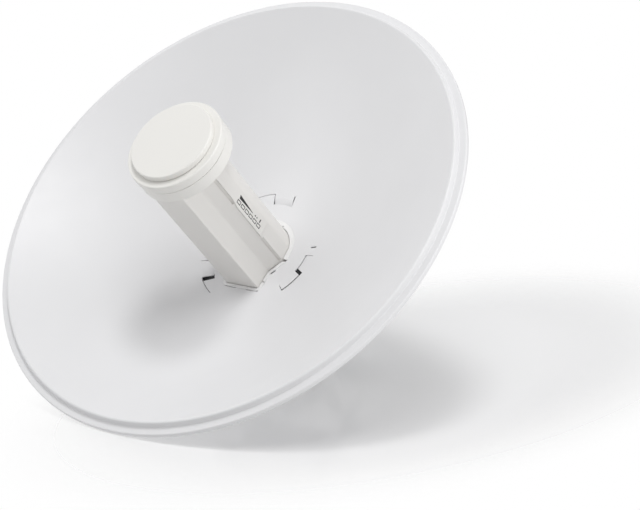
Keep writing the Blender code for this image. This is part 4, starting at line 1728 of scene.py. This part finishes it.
@dataclass
class Fasteners:
    """The screws, bolts, nuts and washers of the bracket and the clamp."""

    bracket: Bracket
    screw_radius: float = 2.5 * MM
    screw_head: float = 4.4 * MM
    screw_height: float = 3.0 * MM
    screw_rim: float = 1.4 * MM
    recess_reach: float = 2.6 * MM
    recess_width: float = 0.9 * MM
    recess_depth: float = 1.5 * MM
    side_radius: float = 3.0 * MM
    side_head: float = 5.6 * MM
    side_height: float = 3.8 * MM
    side_nut: float = 4.2 * MM
    clamp_radius: float = 3.8 * MM
    clamp_head: float = 8.0 * MM
    clamp_rise: float = 3.4 * MM
    clamp_spare: float = 6.0 * MM
    nut_radius: float = 7.4 * MM
    nut_height: float = 6.4 * MM
    washer_radius: float = 8.6 * MM
    washer_thickness: float = 1.5 * MM
    pitch: float = 1.25 * MM
    thread_start: float = 18.0 * MM
    chamfer: float = 0.09
    corner_reach: float = 1.02
    flat_reach: float = 0.97
    edge_round: float = 0.15 * MM
    cross_corner: float = 0.2 * MM
    cross_steps: int = 3
    side_tip: float = 0.6 * MM
    clamp_tip: float = 1.0 * MM
    dome_edge: float = 0.4 * MM
    dome_lip: float = 0.3 * MM
    bore_gap: float = 0.05 * MM
    twist: float = 17.0
    cross_angles: Point = (45.0, 135.0)
    recess_spare: float = 1.2
    washer_edge: float = 50.0
    steps: int = 32
    round_steps: int = 48
    dome_steps: int = 8

    def dome(self, radius: float, rise: float, base: float = 0.0) -> list[Point]:
        """The profile of a domed head, from its top out to its edge.

        Args:
            radius: The head's radius.
            rise: The dome's height.
            base: The height of the dome's edge.

        Returns:
            Radius and height of each point.
        """
        sphere = (radius ** 2 + rise ** 2) / (2 * rise)
        edge = math.degrees(math.asin((sphere - rise) / sphere))
        return arc((0.0, base + rise - sphere), sphere, 90.0, edge, self.dome_steps)

    def thread(self, radius: float, start: float, stop: float) -> list[Point]:
        """A thread's ridges down a shank.

        Args:
            radius: The thread's outer radius.
            start: The height at which it starts.
            stop: The height at which it ends, below its start.

        Returns:
            Radius and height of each point.
        """
        count = round((start - stop) / self.pitch)
        pitch = (start - stop) / count
        root = radius - 0.5 * pitch
        return [point for i in range(count)
                for point in ((radius, start - i * pitch), (root, start - (i + 0.5) * pitch))]

    def hexagon(self, name: str, radius: float, height: float, both: bool) -> Piece:
        """A hexagon with turned-down corners.

        Args:
            name: The piece's name.
            radius: The radius over its corners.
            height: Its height, up from zero.
            both: Whether its lower corners are turned down too.

        Returns:
            The hexagon on the Z axis.
        """
        piece = prism(name, circle(radius, 6), 0.0, height)
        flat = radius * math.cos(math.radians(30.0))
        drop = radius * self.chamfer
        wide = radius * self.corner_reach
        near = flat * self.flat_reach
        profile = [(0.0, height), (near, height), (wide, height - drop)]
        profile += [(wide, drop), (near, 0.0)] if both else [(wide, 0.0)]
        profile.append((0.0, 0.0))
        corner_tool = turned("corner_tool", profile, self.round_steps, closed=False)
        combine(piece, [corner_tool], 'INTERSECT')
        return piece

    def bore(self, piece: Piece, radius: float, height: float) -> None:
        """Drill a nut or a washer that stands on zero.

        Args:
            piece: The piece.
            radius: The hole's radius.
            height: The piece's height.
        """
        combine(piece, [prism("bore", circle(radius, self.steps), -height, 2 * height)])

    def finish_at(self, piece: Piece, matrix: Matrix, node: str) -> None:
        """Put a fastener in its place and dress it.

        Args:
            piece: The fastener.
            matrix: Its place and turn.
            node: The node that it stands for.
        """
        put(piece, matrix)
        smooth(piece, FASTENER_CREASE)
        dress(piece, Finish.ZINC, node)

    def build_screws(self) -> None:
        """Turn one pan head screw, cut its cross and copy it to four places."""
        tip = -self.bracket.plate - SEAM - self.bracket.pad_thickness / 2
        profile = self.dome(self.screw_head, self.screw_height - self.screw_rim, self.screw_rim)
        profile += [(self.screw_head, self.edge_round), (self.screw_head - self.edge_round, 0.0),
                    (self.screw_radius, 0.0), (self.screw_radius, tip), (0.0, tip)]
        screw = turned("pan_head_screw", profile, self.steps, closed=False)
        low, top = self.screw_height - self.recess_depth, self.screw_height * self.recess_spare
        outline = rounded_box(2 * self.recess_reach, self.recess_width, self.cross_corner,
                              steps=self.cross_steps)
        for angle in self.cross_angles:
            bar = put(prism("cross", outline, low, top),
                      stand((0.0, 0.0, 0.0), (0.0, 0.0, angle)))
            combine(screw, [bar])
        y = -self.bracket.depth + self.bracket.plate + SEAM
        for number, (x, z) in enumerate(self.bracket.screw_places(), 1):
            turn = (0.0, 0.0, self.twist * number)
            copy = copy_of(screw, f"pan_screw_{number}", stand((0.0, 0.0, 0.0), turn))
            self.finish_at(copy, stand((x, y, z), (-90.0, 0.0, 0.0)), f"bracket_screw_{number}")
        discard(screw)

    def build_side_bolts(self) -> None:
        """Make the pivot and lock bolts of both sides, with their nuts."""
        outer = self.bracket.width / 2 + SEAM
        inner = self.bracket.width / 2 - 2 * self.bracket.plate - 2 * SEAM
        length = outer - inner + self.side_nut
        bolt = self.hexagon("side_bolt", self.side_head, self.side_height, False)
        shank = [(0.0, self.side_height / 2), (self.side_radius, self.side_height / 2)]
        shank += self.thread(self.side_radius, -self.bracket.plate, -length + self.side_tip)
        shank += [(self.side_radius - self.side_tip, -length), (0.0, -length)]
        combine(bolt, [turned("shank", shank, self.steps, closed=False)], 'UNION')
        nut = self.hexagon("side_nut", self.side_head, self.side_nut, True)
        self.bore(nut, self.side_radius + self.bore_gap, self.side_nut)
        for label, (y, z) in (("pivot", self.bracket.pivot), ("lock", self.bracket.lock)):
            for side in Side:
                sign = side.value
                still = Matrix.Identity(4)
                self.finish_at(copy_of(bolt, f"{label}_hex_bolt_{side.word}", still),
                               stand((sign * outer, y, z), (0.0, sign * 90.0, 0.0)),
                               f"{label}_bolt_{side.word}")
                self.finish_at(copy_of(nut, f"{label}_hex_nut_{side.word}", still),
                               stand((sign * inner, y, z), (0.0, -sign * 90.0, 0.0)),
                               f"{label}_nut_{side.word}")
        discard(bolt, nut)

    def build_clamp(self) -> None:
        """Make the long clamp bolts with their washers and nuts."""
        bracket = self.bracket
        washer_at = bracket.jaw_wing + bracket.jaw_thickness + SEAM
        nut_at = washer_at + self.washer_thickness + SEAM
        end = nut_at + self.nut_height + self.clamp_spare
        head = -bracket.plate - SEAM
        start, stop = head - self.thread_start, head - end
        profile = self.dome(self.clamp_head, self.clamp_rise - self.dome_edge, self.dome_edge)
        profile += [(self.clamp_head - self.dome_lip, 0.0), (self.clamp_radius, 0.0)]
        profile += [(self.clamp_radius, start)]
        profile += self.thread(self.clamp_radius, start, stop + self.clamp_tip)
        profile += [(self.clamp_radius - self.clamp_tip, stop), (0.0, stop)]
        bolt = turned("clamp_bolt", profile, self.steps, closed=False)
        nut = self.hexagon("clamp_nut", self.nut_radius, self.nut_height, True)
        self.bore(nut, self.clamp_radius + self.bore_gap, self.nut_height)
        washer = prism("clamp_washer", circle(self.washer_radius, self.round_steps), 0.0,
                       self.washer_thickness)
        self.bore(washer, self.clamp_radius + SEAM, self.washer_thickness)
        soften(washer, self.edge_round, angle=self.washer_edge)
        for side in Side:
            x = side.value * bracket.clamp_x
            for piece, label, y, turn in ((bolt, "bolt", head, 90.0),
                                          (washer, "washer", washer_at, -90.0),
                                          (nut, "nut", nut_at, -90.0)):
                copy = copy_of(piece, f"carriage_{label}_{side.word}", Matrix.Identity(4))
                self.finish_at(copy, stand((x, y, 0.0), (turn, 0.0, 0.0)),
                               f"clamp_{label}_{side.word}")
        discard(bolt, nut, washer)

    def build(self) -> None:
        """Build every fastener."""
        self.build_screws()
        self.build_side_bolts()
        self.build_clamp()


# The studio

@dataclass(frozen=True)
class Lamp:
    """A soft rectangular lamp that points at the antenna."""

    name: str
    towards: Place
    distance: float
    size: float
    power: float

    def build(self, target: Vector) -> None:
        """Hang the lamp and aim it.

        Args:
            target: What it points at.
        """
        direction = Vector(self.towards).normalized()
        bpy.ops.object.light_add(type='AREA', location=target + direction * self.distance)
        lamp = bpy.context.object
        lamp.name = self.name
        lamp.data.shape = 'DISK'
        lamp.data.size = self.size
        lamp.data.energy = self.power
        lamp.rotation_euler = direction.to_track_quat('Z', 'Y').to_euler()


@dataclass
class Studio:
    """The pale floor, the soft light and the camera."""

    floor_normal: Place = (0.0, -0.6973, 0.7169)
    floor_middle: Place = (0.08, 0.083, 0.0)
    floor_radius: float = 0.55
    floor_steps: int = 96
    fade_from: float = 0.22
    fade_to: float = 0.45
    fade_across: float = 1.8
    gloss: float = 0.08
    gloss_roughness: float = 0.12
    paper: tuple[Place, Place] = ((0.88, 0.88, 0.885), (0.89, 0.89, 0.895))
    paper_clouds: float = 5.0
    paper_relief: Place = (400.0, 0.02 * MM, 0.2)
    paper_sockets: tuple[tuple[str, float], ...] = (("Roughness", 0.6),
                                                    ("Specular IOR Level", 0.0))
    eye: Place = (1.1120, -1.3279, -0.6613)
    right: Place = (0.7935, 0.4363, 0.4243)
    up: Place = (-0.1392, -0.5485, 0.8245)
    back: Place = (0.5925, -0.7133, -0.3745)
    lens: float = 123.75
    sensor: float = 36.0
    clip: Point = (0.05, 20.0)
    glow: tuple[tuple[Place, float], ...] = (
        ((1.0, 0.0, 0.0), 1.38), ((-1.0, 0.0, 0.0), 1.48), ((0.0, 1.0, 0.0), 0.2),
    )
    middle: Place = (0.0, -0.1, 0.0)
    lamps: tuple[Lamp, ...] = (
        Lamp("wide_softbox", (0.32, -0.875, 0.36), 2.2, 0.95, 10.7),
        Lamp("small_softbox", (0.18, -0.815, 0.55), 2.2, 0.5, 10.7),
        Lamp("rear_softbox", (-0.5, 0.8, 0.35), 2.4, 1.6, 5.0),
    )

    def build_camera(self) -> None:
        """Stand the camera where the photograph was taken from."""
        bpy.ops.object.camera_add()
        camera = bpy.context.object
        camera.name = "studio_camera"
        columns = [Vector(axis).normalized() for axis in (self.right, self.up, self.back)]
        turn = Matrix(columns).transposed().to_4x4()
        camera.matrix_world = Matrix.Translation(self.eye) @ turn
        camera.data.lens = self.lens
        camera.data.sensor_width = self.sensor
        camera.data.clip_start, camera.data.clip_end = self.clip
        bpy.context.scene.camera = camera

    def floor_material(self) -> bpy.types.Material:
        """Pale paper that fades away from the shadow and that only the camera sees, from above.

        Returns:
            The material.
        """
        shader = Shader("pale_paper")
        shader.tint(shader.noise(self.paper_clouds), *self.paper)
        shader.relief(self.paper_relief)
        shader.fix(self.paper_sockets)
        distance = shader.node("ShaderNodeVectorMath", {
            0: shader.stretched((self.fade_across, 1.0, 1.0))}, operation='LENGTH')
        fade = shader.node("ShaderNodeMapRange", {
            "Value": distance.outputs["Value"], "From Min": self.fade_from,
            "From Max": self.fade_to}, interpolation_type='SMOOTHSTEP')
        sheen = shader.node("ShaderNodeBsdfGlossy", {"Roughness": self.gloss_roughness})
        clear = shader.node("ShaderNodeBsdfTransparent").outputs["BSDF"]
        behind = shader.node("ShaderNodeNewGeometry").outputs["Backfacing"]
        camera_ray = shader.node("ShaderNodeLightPath").outputs["Is Camera Ray"]
        unseen = shader.math('SUBTRACT', 1.0, camera_ray)
        hidden = shader.math('MAXIMUM', behind, unseen)
        result = shader.mixed(self.gloss, shader.surface.outputs["BSDF"], sheen.outputs["BSDF"])
        result = shader.mixed(fade.outputs["Result"], result, clear)
        result = shader.mixed(hidden, result, clear)
        shader.feed(shader.tree.nodes["Material Output"].inputs["Surface"], result)
        return shader.material

    def build_floor(self) -> None:
        """Lay the floor under the lowest point of the antenna."""
        normal = Vector(self.floor_normal).normalized()
        lowest = min((piece.matrix_world @ vertex.co).dot(normal)
                     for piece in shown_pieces() for vertex in piece.data.vertices)
        centre = Vector(self.floor_middle)
        centre.z += (lowest - centre.dot(normal)) / normal.z
        bpy.ops.object.select_all(action='DESELECT')
        bpy.ops.mesh.primitive_circle_add(vertices=self.floor_steps, radius=self.floor_radius,
                                          fill_type='NGON', location=centre,
                                          rotation=normal.to_track_quat('Z', 'Y').to_euler())
        floor = bpy.context.object
        floor.name = "studio_floor"
        floor.data.materials.append(self.floor_material())
        floor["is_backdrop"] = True

    def build_world(self) -> None:
        """A surround that is white to the camera and lights the antenna softly from three sides."""
        world = bpy.data.worlds.new("studio_surround")
        world.use_nodes = True
        bpy.context.scene.world = world
        wiring = Wiring(world.node_tree)
        ray = wiring.node("ShaderNodeTexCoord").outputs["Generated"]
        total: object = 0.0
        for towards, strength in self.glow:
            cosine = wiring.node("ShaderNodeVectorMath", {0: ray, 1: towards},
                                 operation='DOT_PRODUCT')
            front = wiring.math('MAXIMUM', cosine.outputs["Value"], 0.0)
            total = wiring.math('MULTIPLY_ADD', front, strength, total)
        lit = wiring.tree.nodes["Background"]
        seen = wiring.node("ShaderNodeBackground")
        for shown, strength in ((lit, total), (seen, 1.0)):
            wiring.feed(shown.inputs["Color"], (1.0, 1.0, 1.0, 1.0))
            wiring.feed(shown.inputs["Strength"], strength)
        camera_ray = wiring.node("ShaderNodeLightPath").outputs["Is Camera Ray"]
        mixed = wiring.mixed(camera_ray, lit.outputs["Background"], seen.outputs["Background"])
        wiring.feed(wiring.tree.nodes["World Output"].inputs["Surface"], mixed)

    def build(self) -> None:
        """Build the whole studio."""
        self.build_floor()
        self.build_world()
        for lamp in self.lamps:
            lamp.build(Vector(self.middle))
        self.build_camera()
        bpy.context.scene.view_settings.view_transform = 'Standard'


def main() -> None:
    """Load the frame, dress the antenna over it and build the studio."""
    logging.basicConfig(level=logging.INFO, format="%(name)s %(message)s")
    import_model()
    feed_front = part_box("feed_cap_disc")[0].y
    section = TubeSection()
    axis = BowlAxis(vertex_y=feed_front + FeedHead.reach)
    socket = FeedSocket(axis, section)
    feed = FeedHead(axis, section)
    bracket = Bracket()
    Reflector(axis).build(socket.outline(socket.gap))
    feed.build()
    SignalMarks(axis, section.half_width + feed.pad_rise).build()
    socket.build()
    RearHousing(axis).build()
    bracket.build()
    Fasteners(bracket).build()
    Studio().build()


if __name__ == "__main__":
    main()
